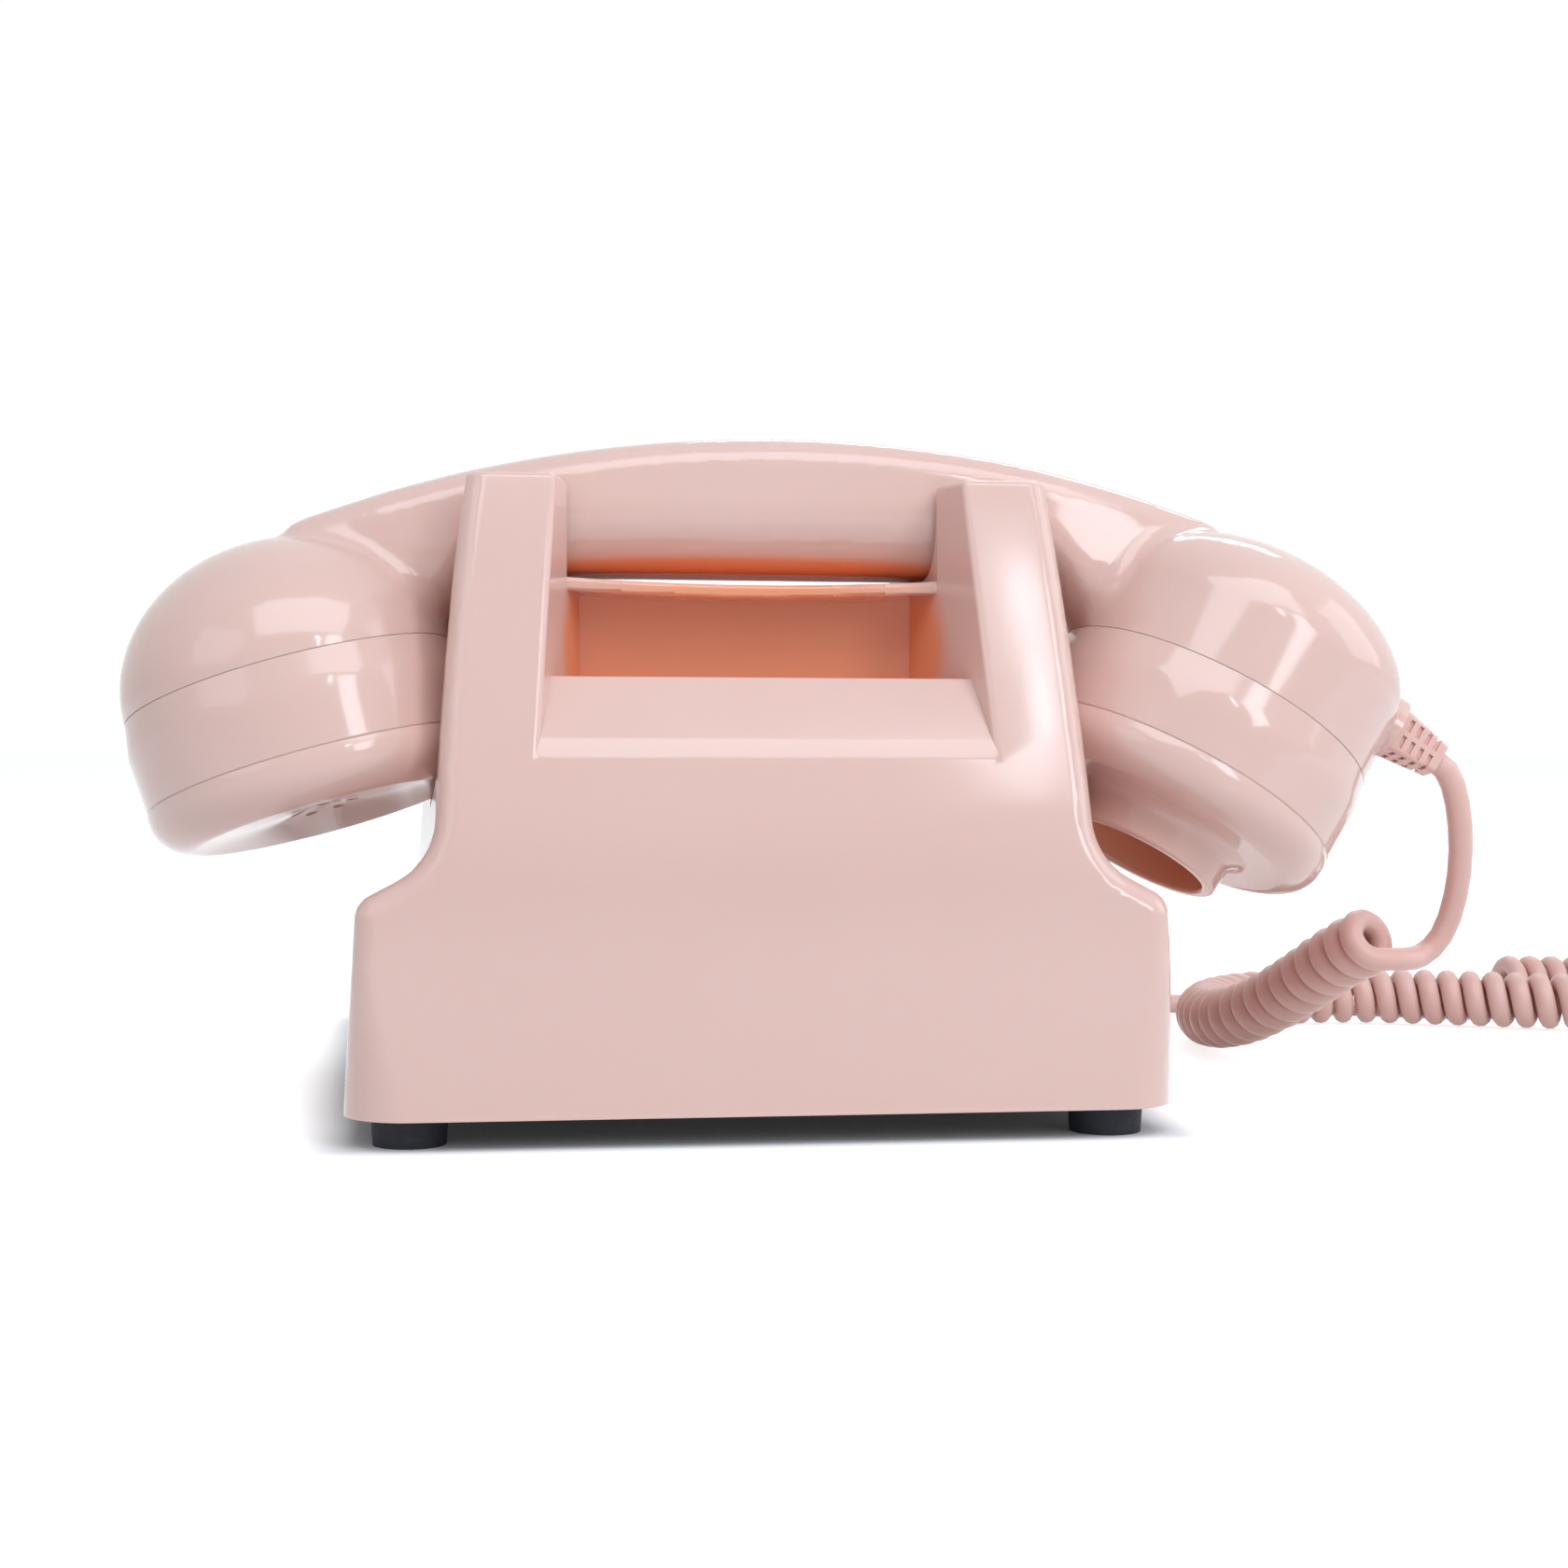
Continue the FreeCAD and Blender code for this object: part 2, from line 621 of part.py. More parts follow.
def scoops(grow):
    """Room in the sides of the neck for both bowls, open upwards so that the handset lifts straight out."""
    rooms = handle_ends(grow)
    for place, radius, face in ((EAR, "ear_scoop", "ear_face"), (MOUTH, "mouth_scoop", "mouth_face")):
        disc = Part.Face(Part.Wire([Part.Circle(Vector(0, 0, -size(face) - size("scoop_gap") - grow),
                                                Vector(0, 0, 1), size(radius) + grow).toShape()]))
        disc.Placement = place
        rooms.append(disc.extrude(Vector(0, 0, FAR)))
    return rooms


def screw_places():
    for across in (-1, 1):
        for along in (-1, 1):
            yield Vector(across * size("boss_across"), along * size("boss_along"), 0)


def upright(radius, bottom, top, place):
    """A plain upright cylinder."""
    return Part.makeCylinder(radius, top - bottom, Vector(place.x, place.y, bottom))


DIAL = Placement(Vector(0, -size("dial_along"), slope_at(-size("dial_along"))),
                 Rotation(Vector(1, 0, 0), size("front_slope")))


def socket_hole(side):
    """Opening in a side wall that a cord socket fills."""
    gap = 0.1
    width = size("socket_width") + 2 * gap
    height = size("socket_height") + 2 * gap
    start = Vector(size("socket_face") - size("socket_depth") + 5.0,
                   -size("socket_along") - width / 2, size("socket_bottom") - gap)
    hole = Part.makeBox(size("socket_depth"), width, height, start)
    return hole if side > 0 else hole.mirror(Vector(0, 0, 0), Vector(1, 0, 0))


def corner_fill(side):
    """Thicker moulding inside a rear corner, because the outside is rounder there than the wall is thick."""
    edge = size_of("base_half_width + fill_clear")
    rear = HALF_DEPTH + size("fill_clear")
    foot = size("foot_across") + size("foot_along") + size("foot_radius") * math.sqrt(2)
    line = foot + size("fill_clear")
    start = (side * edge, rear)
    return prism(start, [(side * edge, line - edge), (side * (line - rear), rear), start],
                 lambda across, along: Vector(across, along, 0), Vector(0, 0, FAR))


def hollow():
    """The space inside the case, clear of the recess, the rear corners and the screw bosses."""
    space = case_block(size("wall"), 0.0, size("cavity_top"))
    behind = size("pocket_front") - size("wall")
    under = size("pocket_floor") - size("wall")
    ledge = 3.4
    start = (behind, FAR)
    steps = [(behind, under),
             (size("rim_depth") + ledge, under),
             (size("crease_depth") - 1.0, size("crease_height") - ledge),
             (FAR, size("crease_height") - ledge),
             (FAR, FAR),
             start]
    bosses = [upright(size("boss_radius"), size_of("plate_bottom + plate_thickness"), FAR, place)
              for place in screw_places()]
    corners = [corner_fill(-1), corner_fill(1)]
    return space.cut([across_prism(start, steps, FAR)] + bosses + corners + scoops(size("wall")))


def soft_edges(shape):
    """Small radii of the moulding: crease, rim, grip bar, horns, ears and front edge."""
    def close(value, target):
        return abs(value - target) < 0.7

    def on_middle(middle):
        return abs(middle.x) < 1.0

    def crease(middle, edge):
        at_crease = close(middle.y, size("crease_depth")) and close(middle.z, size("crease_height"))
        return on_middle(middle) and at_crease

    def horn(middle, edge):
        on_top = abs(middle.z - size("case_top")) < 0.05
        on_rear = close(middle.y, rear_at(middle.z)) and close(abs(middle.x), recess_half_at(middle.y))
        on_front = close(middle.y, size("lip_rear")) and close(abs(middle.x), PLATFORM_HALF)
        above_rim = middle.z > size("rim_height")
        above_bar = middle.z > size("lip_top") + 1.0
        return on_top or above_bar and on_front or above_rim and on_rear

    def rim(middle, edge):
        behind_bar = middle.y > size("lip_rear") + 1.0
        return on_middle(middle) and behind_bar and close(middle.z, size("rim_height") - 0.3)

    def bar(middle, edge):
        return on_middle(middle) and close(middle.y, size("lip_rear")) and middle.z > size("rim_height")

    def ear(middle, edge):
        at_trough = middle.y > size("handset_along") - size("trough_half") - 0.7
        inside = abs(middle.x) < PLATFORM_HALF + 0.1 or at_trough and abs(middle.x) < 48.0
        return inside and abs(middle.z - slope_at(middle.y)) < 0.05 and middle.z > 80.0

    def front(middle, edge):
        return on_middle(middle) and close(middle.z, size("front_edge"))

    for chosen, radius in ((horn, 1.4), (crease, 12.0), (rim, 1.0), (bar, 0.8), (ear, 1.0), (front, 3.0)):
        shape = fillet_where(shape, radius, chosen).Solids[0]
    return shape


def make_case():
    shape = rounded_case().cut([recess_cut(), platform_cut(), trough_cut()]).removeSplitter().Solids[0]
    shape = soft_edges(shape)
    dial_hole = Part.makeCylinder(size("dial_cup") + 0.2, FAR, Vector(0, 0, -FAR / 2))
    dial_hole.Placement = DIAL
    plungers = [upright(size("hook_radius") + 0.3, size("neck_start"), FAR,
                        Vector(side * size("hook_across"), size("hook_along"), 0)) for side in (-1, 1)]
    pilot_top = size_of("plate_bottom + plate_thickness + screw_reach + 1.0")
    pilots = [upright(size_of("screw_radius + fit_gap"), 0.0, pilot_top, place) for place in screw_places()]
    sockets = [socket_hole(1), socket_hole(-1)]
    return shape.cut(scoops(0.0)).cut([hollow(), dial_hole] + sockets + plungers + pilots).Solids[0]


solid_part("case_shell", make_case())

# Base: plate, feet and screws

PLATE_TOP = size_of("plate_bottom + plate_thickness")
base_plate = plate("base_plate",
                   [("plate_front_half", "0 - plate_half_depth"),
                    ("plate_rear_half", "plate_half_depth - plate_corner"),
                    ("plate_rear_half - plate_corner", "plate_half_depth"),
                    ("plate_corner - plate_rear_half", "plate_half_depth"),
                    ("0 - plate_rear_half", "plate_half_depth - plate_corner"),
                    ("0 - plate_front_half", "0 - plate_half_depth")],
                   "plate_thickness", at(0, 0, size("plate_bottom")))
keep(pierce(base_plate, list(screw_places()), "screw_radius + fit_gap"), "base_plate")

feet = []
for across in (-1, 1):
    for along in (-1, 1):
        foot = doc.addObject("Part::Cone", "foot")
        bind(foot, Radius1="foot_radius - foot_taper", Radius2="foot_radius", Height="plate_bottom")
        foot.Placement = at(across * size("foot_across"), along * size("foot_along"), 0)
        feet.append(foot)
group("rubber_feet", feet)


def screw(name, shank, reach, placement):
    """A screw whose head's upper face lies on the placement's origin."""
    head = cylinder(name + "_head", "screw_head", "screw_head_height", placement)
    head.Placement = placement.multiply(at(0, 0, -size("screw_head_height")))
    stem = cylinder(name + "_stem", shank, reach, placement)
    return joined(name, [head, stem])


base_screws = []
for place in screw_places():
    base_screws.append(screw("base_screw", "screw_radius", "plate_thickness + screw_reach",
                             at(place.x, place.y, size("plate_bottom"))))
group("base_screws", base_screws)

# Circuit board and sockets

BOARD_BOTTOM = PLATE_TOP + size("standoff_height")
BOARD_TOP = BOARD_BOTTOM + size("board_thickness")
keep(box("circuit_board", "board_length", "board_width", "board_thickness",
         at(-size("board_length") / 2, -size("board_front"), BOARD_BOTTOM)), "circuit_board")
standoffs = []
inset = 5.0
for across in (-1, 1):
    for along in (-size("board_front") + inset, -size("board_front") + size("board_width") - inset):
        place = at(across * (size("board_length") / 2 - inset), along, PLATE_TOP)
        standoffs.append(cylinder("standoff", "standoff_radius", "standoff_height", place))
group("board_standoffs", standoffs)

components = []
for across, along, radius in ((-30, -30, "4.0"), (-18, -30, "3.2"), (32, -74, "4.0")):
    components.append(cylinder("capacitor", radius, "7.0", at(across, along, BOARD_TOP)))
for across, along in ((-12, -70), (8, -52), (-36, -56)):
    components.append(box("chip", "16.0", "7.0", "3.0", at(across, along, BOARD_TOP)))
group("board_components", components)


def cord_socket(label, side):
    """A socket block with an open mouth, let into a side wall."""
    face = side * size("socket_face")
    left = face - size("socket_depth") if side > 0 else face
    block = box(label + "_block", "socket_depth", "socket_width", "socket_height",
                at(left, -size("socket_along") - size("socket_width") / 2, size("socket_bottom")))
    mouth_width = "plug_width + plug_gap + plug_gap"
    mouth = box(label + "_mouth", "plug_inside + 2.0", mouth_width, "plug_height + plug_gap + plug_gap",
                at(face - size_of("plug_inside + 1.0") if side > 0 else face - 1.0,
                   -size("socket_along") - size_of(mouth_width) / 2,
                   PLUG_HEIGHT - size("plug_height") / 2 - size("plug_gap")))
    return keep(drilled(label, block, [mouth]), label)


PLUG_HEIGHT = size("socket_bottom") + size("socket_height") / 2
cord_socket("line_socket", 1)
cord_socket("handset_socket", -1)
PLUG_END = -size("socket_face") + size("plug_inside") - size("plug_length")
keep(box("cord_plug", "plug_length", "plug_width", "plug_height",
         at(PLUG_END, -size("socket_along") - size("plug_width") / 2, PLUG_HEIGHT - size("plug_height") / 2)),
     "cord_plug")

# Bell: two gongs, their posts and screws, coil, bracket and clapper

BRACKET_TOP = PLATE_TOP + size("bracket_thickness")
keep(box("ringer_bracket", "bracket_width", "bracket_length", "bracket_thickness",
         at(-size("bracket_width") / 2, size("clapper_pivot") - 5.0, PLATE_TOP)), "ringer_bracket")
keep(cylinder("ringer_coil", "coil_radius", "coil_height", at(0, size("coil_along"), BRACKET_TOP)),
     "ringer_coil")
posts = []
gong_screws = []
GONG_UNDER = size_of("gong_top - gong_wall")
for side, label in ((1, "left_gong"), (-1, "right_gong")):
    across = side * size("gong_across")
    gong = turned(label,
                  [("gong_post - 1.0", "gong_height - gong_wall"),
                   ("gong_radius - 7.0", "gong_height - gong_wall"),
                   ("gong_radius - gong_wall - 2.0", "gong_height - gong_wall - 4.0"),
                   ("gong_radius - gong_wall", "0"),
                   ("gong_radius", "0"),
                   ("gong_radius - 2.0", "gong_height - 3.6"),
                   ("gong_radius - 6.4", "gong_height"),
                   ("gong_post - 1.0", "gong_height")],
                  at(across, size("gong_along"), size_of("gong_top - gong_height")))
    keep(gong, label)
    post = doc.addObject("Part::Cylinder", "gong_post")
    post.setExpression("Radius", "Sheet.gong_post")
    post.Height = GONG_UNDER - PLATE_TOP
    post.Placement = at(across, size("gong_along"), PLATE_TOP)
    posts.append(post)
    gong_screws.append(cylinder("gong_screw", "gong_post + 1.4", "screw_head_height + 0.6",
                                at(across, size("gong_along"), size("gong_top"))))
group("gong_posts", posts)
group("gong_screws", gong_screws)

PIVOT = Vector(0, size("clapper_pivot"), 0)
HUB_HALF = 2.0
pin_foot = size("clapper_height") + HUB_HALF + 2.0
clapper_pin = doc.addObject("Part::Cylinder", "clapper_pin")
clapper_pin.setExpression("Radius", "Sheet.pin_radius")
clapper_pin.Height = pin_foot - BRACKET_TOP
clapper_pin.Placement = at(0, PIVOT.y, BRACKET_TOP)
keep(clapper_pin, "clapper_pin")


def make_clapper():
    """Hub, arm and ball, swinging between the gongs."""
    height = size("clapper_height")
    hub = upright(size("clapper_hub"), height - HUB_HALF, height + HUB_HALF, PIVOT)
    tip = Vector(0, size("gong_along"), height)
    arm_radius = 1.0
    arm = Part.makeCylinder(arm_radius, PIVOT.y - tip.y, tip, Vector(0, 1, 0))
    ball = Part.makeSphere(size("clapper_ball"), tip)
    bore = upright(size_of("pin_radius + fit_gap"), 0, FAR, PIVOT)
    return hub.fuse([arm, ball]).cut(bore)


solid_part("clapper", make_clapper())

# Hook switch: two plungers on one bar, their bushes, a spring and its post

plungers = []
bushes = []
for side in (-1, 1):
    across = side * size("hook_across")
    plunger = doc.addObject("Part::Cylinder", "plunger")
    plunger.setExpression("Radius", "Sheet.hook_radius")
    plunger.setExpression("Height", "Sheet.hook_top - Sheet.hook_bar_top")
    plunger.Placement = at(across, size("hook_along"), size("hook_bar_top"))
    plungers.append(plunger)
    outer = cylinder("bush", "guide_radius", "cavity_top - guide_bottom",
                     at(across, size("hook_along"), size("guide_bottom")))
    bore = cylinder("bush_bore", "hook_radius + fit_gap", "cavity_top",
                    at(across, size("hook_along"), size("neck_start")))
    bushes.append(drilled("bush_drilled", outer, [bore]))
group("hook_plungers", plungers)
group("hook_bushes", bushes)
keep(box("hook_bar", "hook_across + hook_across + hook_radius + hook_radius", "hook_bar_width",
         "hook_bar_height",
         at(-size_of("hook_across + hook_radius"), size("hook_along") - size("hook_bar_width") / 2,
            size_of("hook_bar_top - hook_bar_height"))), "hook_bar")
spring_post = doc.addObject("Part::Cylinder", "spring_post")
spring_post.setExpression("Radius", "Sheet.post_radius")
spring_post.Height = size("spring_seat") - PLATE_TOP
spring_post.Placement = at(size("spring_across"), size("hook_along"), PLATE_TOP)
keep(spring_post, "spring_post")

# Dial: housing, number plate, finger wheel, shaft, gears, governor and stop

keep(turned("dial_housing",
            [("shaft_radius + fit_gap", "0 - dial_depth"),
             ("shaft_radius + 3.5", "0 - dial_depth"),
             ("shaft_radius + 3.5", "0 - dial_face - 2.0"),
             ("dial_cup - 2.0", "0 - dial_face - 2.0"),
             ("dial_cup - 2.0", "0 - dial_depth"),
             ("dial_cup", "0 - dial_depth"),
             ("dial_cup", "0"),
             ("dial_flange", "0"),
             ("dial_flange", "dial_rim_height - 1.2"),
             ("dial_flange - 1.0", "dial_rim_height"),
             ("dial_bowl + 1.0", "dial_rim_height"),
             ("dial_bowl", "dial_rim_height - 1.0"),
             ("dial_bowl", "0 - dial_face"),
             ("shaft_radius + fit_gap", "0 - dial_face")], DIAL), "dial_housing")
keep(turned("number_plate",
            [("shaft_radius + 0.6", "0 - dial_face"),
             ("plate_disc", "0 - dial_face"),
             ("plate_disc", "plate_disc_thickness - dial_face"),
             ("shaft_radius + 0.6", "plate_disc_thickness - dial_face")], DIAL), "number_plate")

WHEEL = DIAL.multiply(at(0, 0, size("wheel_bottom")))
finger_wheel = turned("finger_wheel",
                      [("shaft_radius + 0.1", "0"),
                       ("wheel_radius", "0"),
                       ("wheel_radius", "wheel_thickness - 0.6"),
                       ("wheel_radius - 0.6", "wheel_thickness"),
                       ("shaft_radius + 0.1", "wheel_thickness")], WHEEL)
finger_holes = []
for number in range(10):
    angle = math.radians(size("wheel_first") + number * size("wheel_step"))
    finger_holes.append(Vector(math.cos(angle), math.sin(angle), 0) * size("wheel_circle"))
keep(pierce(finger_wheel, finger_holes, "wheel_hole"), "finger_wheel")
WHEEL_TOP = DIAL.multiply(at(0, 0, size_of("wheel_bottom + wheel_thickness")))
keep(turned("dial_hub_cap",
            [("0", "0"),
             ("hub_cap_radius", "0"),
             ("hub_cap_radius", "hub_cap_height - 1.2"),
             ("hub_cap_radius - 1.2", "hub_cap_height - 0.2"),
             ("hub_cap_radius - 4.0", "hub_cap_height"),
             ("0", "hub_cap_height")], WHEEL_TOP), "dial_hub_cap")
keep(cylinder("dial_shaft", "shaft_radius", "shaft_end + wheel_bottom + wheel_thickness",
              DIAL.multiply(at(0, 0, -size("shaft_end")))), "dial_shaft")


def gear(teeth, bore, thickness, turn):
    """A spur gear with straight-sided teeth, standing on its lower face."""
    module = size("gear_module")
    backlash = 0.1
    pitch = module * teeth / 2
    levels = ((pitch - 1.25 * module, 0.36),
              (pitch - 0.1 * module, 0.25 - backlash / teeth),
              (pitch + 0.8 * module, 0.12))
    points = []
    for tooth in range(teeth):
        flank = [(radius, -width) for radius, width in levels]
        flank += [(radius, width) for radius, width in reversed(levels)]
        for radius, width in flank:
            angle = 2 * math.pi * (tooth + turn + width) / teeth
            points.append(Vector(radius * math.cos(angle), radius * math.sin(angle), 0))
    disc = Part.Face(Part.makePolygon(points + points[:1])).extrude(Vector(0, 0, thickness))
    return disc.cut(Part.makeCylinder(bore, thickness, Vector(0, 0, 0)))


GEAR = DIAL.multiply(at(0, 0, -size_of("gear_top + gear_thickness")))
GEAR_TEETH = int(size("gear_teeth"))
PINION_TEETH = int(size("pinion_teeth"))
CENTRES = size("gear_module") * (GEAR_TEETH + PINION_TEETH) / 2
dial_gear = gear(GEAR_TEETH, size_of("shaft_radius + fit_gap"), size("gear_thickness"), 0.0)
solid_part("dial_gear", dial_gear, GEAR)


def make_governor():
    """Pinion, shaft and the round weight that the cup brakes."""
    pinion = gear(PINION_TEETH, size("governor_shaft") / 2, size("gear_thickness"), 0.5)
    weight_gap = 2.0
    weight_height = 4.0
    weight_foot = Vector(0, 0, -weight_gap - weight_height)
    weight = Part.makeCylinder(size("governor_wheel"), weight_height, weight_foot)
    shaft_up = size_of("gear_top + gear_thickness - dial_face - 2.4")
    shaft_down = weight_gap + weight_height + 2.4
    shaft = Part.makeCylinder(size("governor_shaft"), shaft_up + shaft_down, Vector(0, 0, -shaft_down))
    return pinion.fuse([shaft, weight])


def make_governor_cup():
    """Cup round the governor weight, with a leg to the dial housing."""
    cup_top = -1.4
    floor_top = -6.6
    floor = -8.2
    gap = 1.6
    outer = size("governor_cup")
    cup = Part.makeCylinder(outer, cup_top - floor, Vector(0, 0, floor))
    cup = cup.cut(Part.makeCylinder(outer - gap, FAR, Vector(0, 0, floor_top)))
    cup = cup.cut(Part.makeCylinder(size_of("governor_shaft + fit_gap"), FAR, Vector(0, 0, -FAR / 2)))
    leg_near = outer - gap + 0.4
    leg_top = size_of("gear_top + gear_thickness - dial_depth")
    leg_width = 8.0
    leg_reach = size("dial_cup") - CENTRES - 0.2 - leg_near
    leg = Part.makeBox(leg_width, leg_reach, leg_top - floor, Vector(-leg_width / 2, leg_near, floor))
    return cup.fuse(leg)


GOVERNOR = GEAR.multiply(at(0, CENTRES, 0))
solid_part("governor", make_governor(), GOVERNOR)
solid_part("governor_cup", make_governor_cup(), GOVERNOR)


def make_dial_spring():
    """Flat spiral spring round the shaft, in half circles."""
    strip = 0.5
    step = 1.1
    first = 7.0
    half_turns = 7
    inner = []
    outer = []
    for number in range(half_turns):
        side = 1 if number % 2 == 0 else -1
        centre = 0.0 if number % 2 == 0 else -step / 2
        radius = first + number * step / 2
        for edges, offset in ((inner, -strip / 2), (outer, strip / 2)):
            reach = radius + offset
            start = Vector(centre - side * reach, 0, 0)
            end = Vector(centre + side * reach, 0, 0)
            edges.append(Part.Arc(start, Vector(centre, side * reach, 0), end).toShape())
    caps = [Part.LineSegment(inner[place].valueAt(end), outer[place].valueAt(end)).toShape()
            for place, end in ((0, inner[0].FirstParameter), (-1, inner[-1].LastParameter))]
    face = Part.Face(Part.Wire(Part.__sortEdges__(inner + outer + caps)))
    return face.extrude(Vector(0, 0, size("gear_thickness")))


solid_part("dial_spring", make_dial_spring(), DIAL.multiply(at(0, 0, -size("dial_depth") + 1.5)))


def make_finger_stop():
    """Bent strip that stands on the housing rim and reaches over the wheel."""
    rim = size("dial_rim_height")
    height = 3.0
    strip = 1.1
    foot_far = size("dial_flange") - 1.6
    tip = size("wheel_circle") + 3.0
    start = (foot_far, rim)
    steps = [(foot_far, rim + height), (foot_far - strip, rim + height + strip), (tip, rim + height + strip),
             (tip, rim + height), (foot_far - 2 * strip, rim + height), (foot_far - 2 * strip, rim), start]
    width = 5.0
    strip_solid = prism(start, steps, lambda reach, level: Vector(reach, -width / 2, level),
                        Vector(0, width, 0))
    return fillet_where(strip_solid, 0.35, lambda middle, edge: abs(edge.Length - width) < 1e-6)


solid_part("finger_stop", make_finger_stop(),
           DIAL.multiply(Placement(Vector(0, 0, 0), Rotation(Vector(0, 0, 1), -size("stop_angle")))))

# Handset: handle and bowls in one moulding, rings, caps, capsules, wires and strain relief

SLEEVE_ANGLE = math.radians(size("sleeve_slope"))
SLEEVE_AXIS = Vector(-math.cos(SLEEVE_ANGLE), 0, -math.sin(SLEEVE_ANGLE))
SLEEVE = HANDSET.multiply(Placement(Vector(-size("sleeve_across"), 0, -size("sleeve_drop")),
                                    Rotation(Vector(0, 0, 1), SLEEVE_AXIS)))
FROM_HANDSET = HANDSET.inverse()


def back_at(across):
    """Height of the handle's back, which dives into the bowls at its ends."""
    reach = 10.0
    past = max(0.0, across - size("handle_ear_end") + reach, -across - size("handle_mouth_end") + reach)
    arc = (across + size("handle_crown")) ** 2 / (2 * size("handle_arc"))
    return size("handle_top") - arc - past ** 2 / (2 * size("handle_dive"))


def underside_at(across):
    """Height of the handle's underside, with a soft corner down to each bowl."""
    start = size("ear_corner") if across > 0 else size("mouth_corner")
    share = min(1.0, max(0.0, (abs(across) - start) / size("corner_run")))
    return -size("handle_bottom") - size("corner_drop") * share * share * (3 - 2 * share)


def handle_section(across):
    """Rounded section of the handle, narrower and lower towards its ends."""
    beyond = max(0.0, abs(across) - size("handle_straight"))
    half = size("handle_half") - beyond ** 2 / (2 * size("handle_taper")) * 0.42
    top = back_at(across)
    bottom = underside_at(across)
    upper = min(6.0, 0.46 * half)
    lower = min(0.86 * half, 0.52 * (top - bottom))
    bend = 1 - math.sqrt(0.5)
    start = (-half + lower, bottom)
    steps = [(half - lower, bottom),
             (half - bend * lower, bottom + bend * lower, half, bottom + lower),
             (half, top - upper),
             (half - bend * upper, top - bend * upper, half - upper, top),
             (-half + upper, top),
             (-half + bend * upper, top - bend * upper, -half, top - upper),
             (-half, bottom + lower),
             (-half + bend * lower, bottom + bend * lower, -half + lower, bottom)]
    return Part.Wire(outline_edges(start, steps, lambda along, height: Vector(across, along, height)))


def bowl(radius, straight, dome):
    """A round bowl: straight wall, then a quarter ellipse up to its crown."""
    ellipse = Part.Ellipse(Vector(radius, 0, straight), Vector(0, 0, straight + dome), Vector(0, 0, straight))
    edges = [Part.LineSegment(Vector(0, 0, 0), Vector(radius, 0, 0)).toShape(),
             Part.LineSegment(Vector(radius, 0, 0), Vector(radius, 0, straight)).toShape(),
             Part.ArcOfEllipse(ellipse, 0.0, math.pi / 2).toShape(),
             Part.LineSegment(Vector(0, 0, straight + dome), Vector(0, 0, 0)).toShape()]
    return Part.Face(Part.Wire(edges)).revolve(Vector(0, 0, 0), Vector(0, 0, 1), 360)


def wire_arc(lower, trim):
    """Path of the wires along the middle of the handle, lowered and cut short at both ends."""
    ends = [(-76.0, -7.8), (-size("handle_crown"), 0.4), (71.0, -10.8)]
    edge = Part.Arc(*[Vector(across, 0, height - lower) for across, height in ends]).toShape()
    turn = trim / edge.Curve.Radius
    return Part.Wire([edge.Curve.toShape(edge.FirstParameter + turn, edge.LastParameter - turn)])


def tube(path, radius):
    """A round tube along a wire."""
    edge = path.OrderedEdges[0]
    start = edge.valueAt(edge.FirstParameter)
    along = edge.tangentAt(edge.FirstParameter)
    if start.distanceToPoint(path.OrderedVertexes[0].Point) > 1e-6:
        start = edge.valueAt(edge.LastParameter)
        along = edge.tangentAt(edge.LastParameter) * -1
    ring = Part.Wire([Part.Circle(start, along, radius).toShape()])
    return path.makePipeShell([ring], True, False)


def make_handset():
    """Handle fused with both bowls, hollowed, with a boss for the strain relief."""
    first = -size("handle_mouth_end")
    last = size("handle_ear_end")
    count = 27
    sections = [handle_section(first + (last - first) * number / (count - 1)) for number in range(count)]
    handle = Part.makeLoft(sections, True, False)
    ear_place = FROM_HANDSET.multiply(EAR)
    mouth_place = FROM_HANDSET.multiply(MOUTH)
    ear = placed(bowl(size("ear_radius"), size("ear_straight"), size("ear_dome")), ear_place)
    mouth = placed(bowl(size("mouth_radius"), size("mouth_straight"), size("mouth_dome")), mouth_place)
    boss = Part.makeCylinder(size("sleeve_boss"), 14.0, Vector(0, 0, -14.0))
    boss = placed(boss, FROM_HANDSET.multiply(SLEEVE))
    solid = handle.fuse([ear, mouth, boss])
    solid = soften(solid, handle, [ear, mouth])
    wall = size("bowl_wall")
    ear_space = placed(bowl(size("ear_radius") - wall, size("ear_straight"), size("ear_dome") - wall),
                       ear_place)
    mouth_space = placed(bowl(size("mouth_radius") - wall, size("mouth_straight"), size("mouth_dome") - wall),
                         mouth_place)
    channel = tube(wire_arc(0.0, 0.0), size("wire_bore"))
    cord_hole = Part.makeCylinder(size("cord_diameter") / 2 + 0.3, 20.0, Vector(0, 0, -19.9))
    cord_hole = placed(cord_hole, FROM_HANDSET.multiply(SLEEVE))
    return solid.cut([ear_space, mouth_space, channel, cord_hole])


def soften(solid, handle, bowls):
    """Fillet where the handle runs into the bowls."""
    edges = [edge for edge in solid.Edges
             if on_skin(edge, handle) and any(on_skin(edge, item) for item in bowls)]
    return solid.makeFillet(size("blend"), edges)


def on_skin(edge, solid):
    """Whether an edge lies on the outside of a solid."""
    point = Part.Vertex(middle_of(edge))
    return point.distToShape(solid.Shells[0])[0] < 1e-3


solid_part("handset_body", make_handset(), HANDSET)


def ring_corners(radius, height):
    """Outline of the band between a bowl and its cap, chamfered to draw both seams."""
    return [(radius + " - bowl_wall", "0"),
            (radius + " - seam", "0"),
            (radius, "0 - seam"),
            (radius + " + ring_swell", "0 - belly_drop"),
            (radius + " + ring_swell - ring_draft", "seam - " + height),
            (radius + " + ring_swell - ring_draft - seam", "0 - " + height),
            (radius + " - bowl_wall", "0 - " + height)]


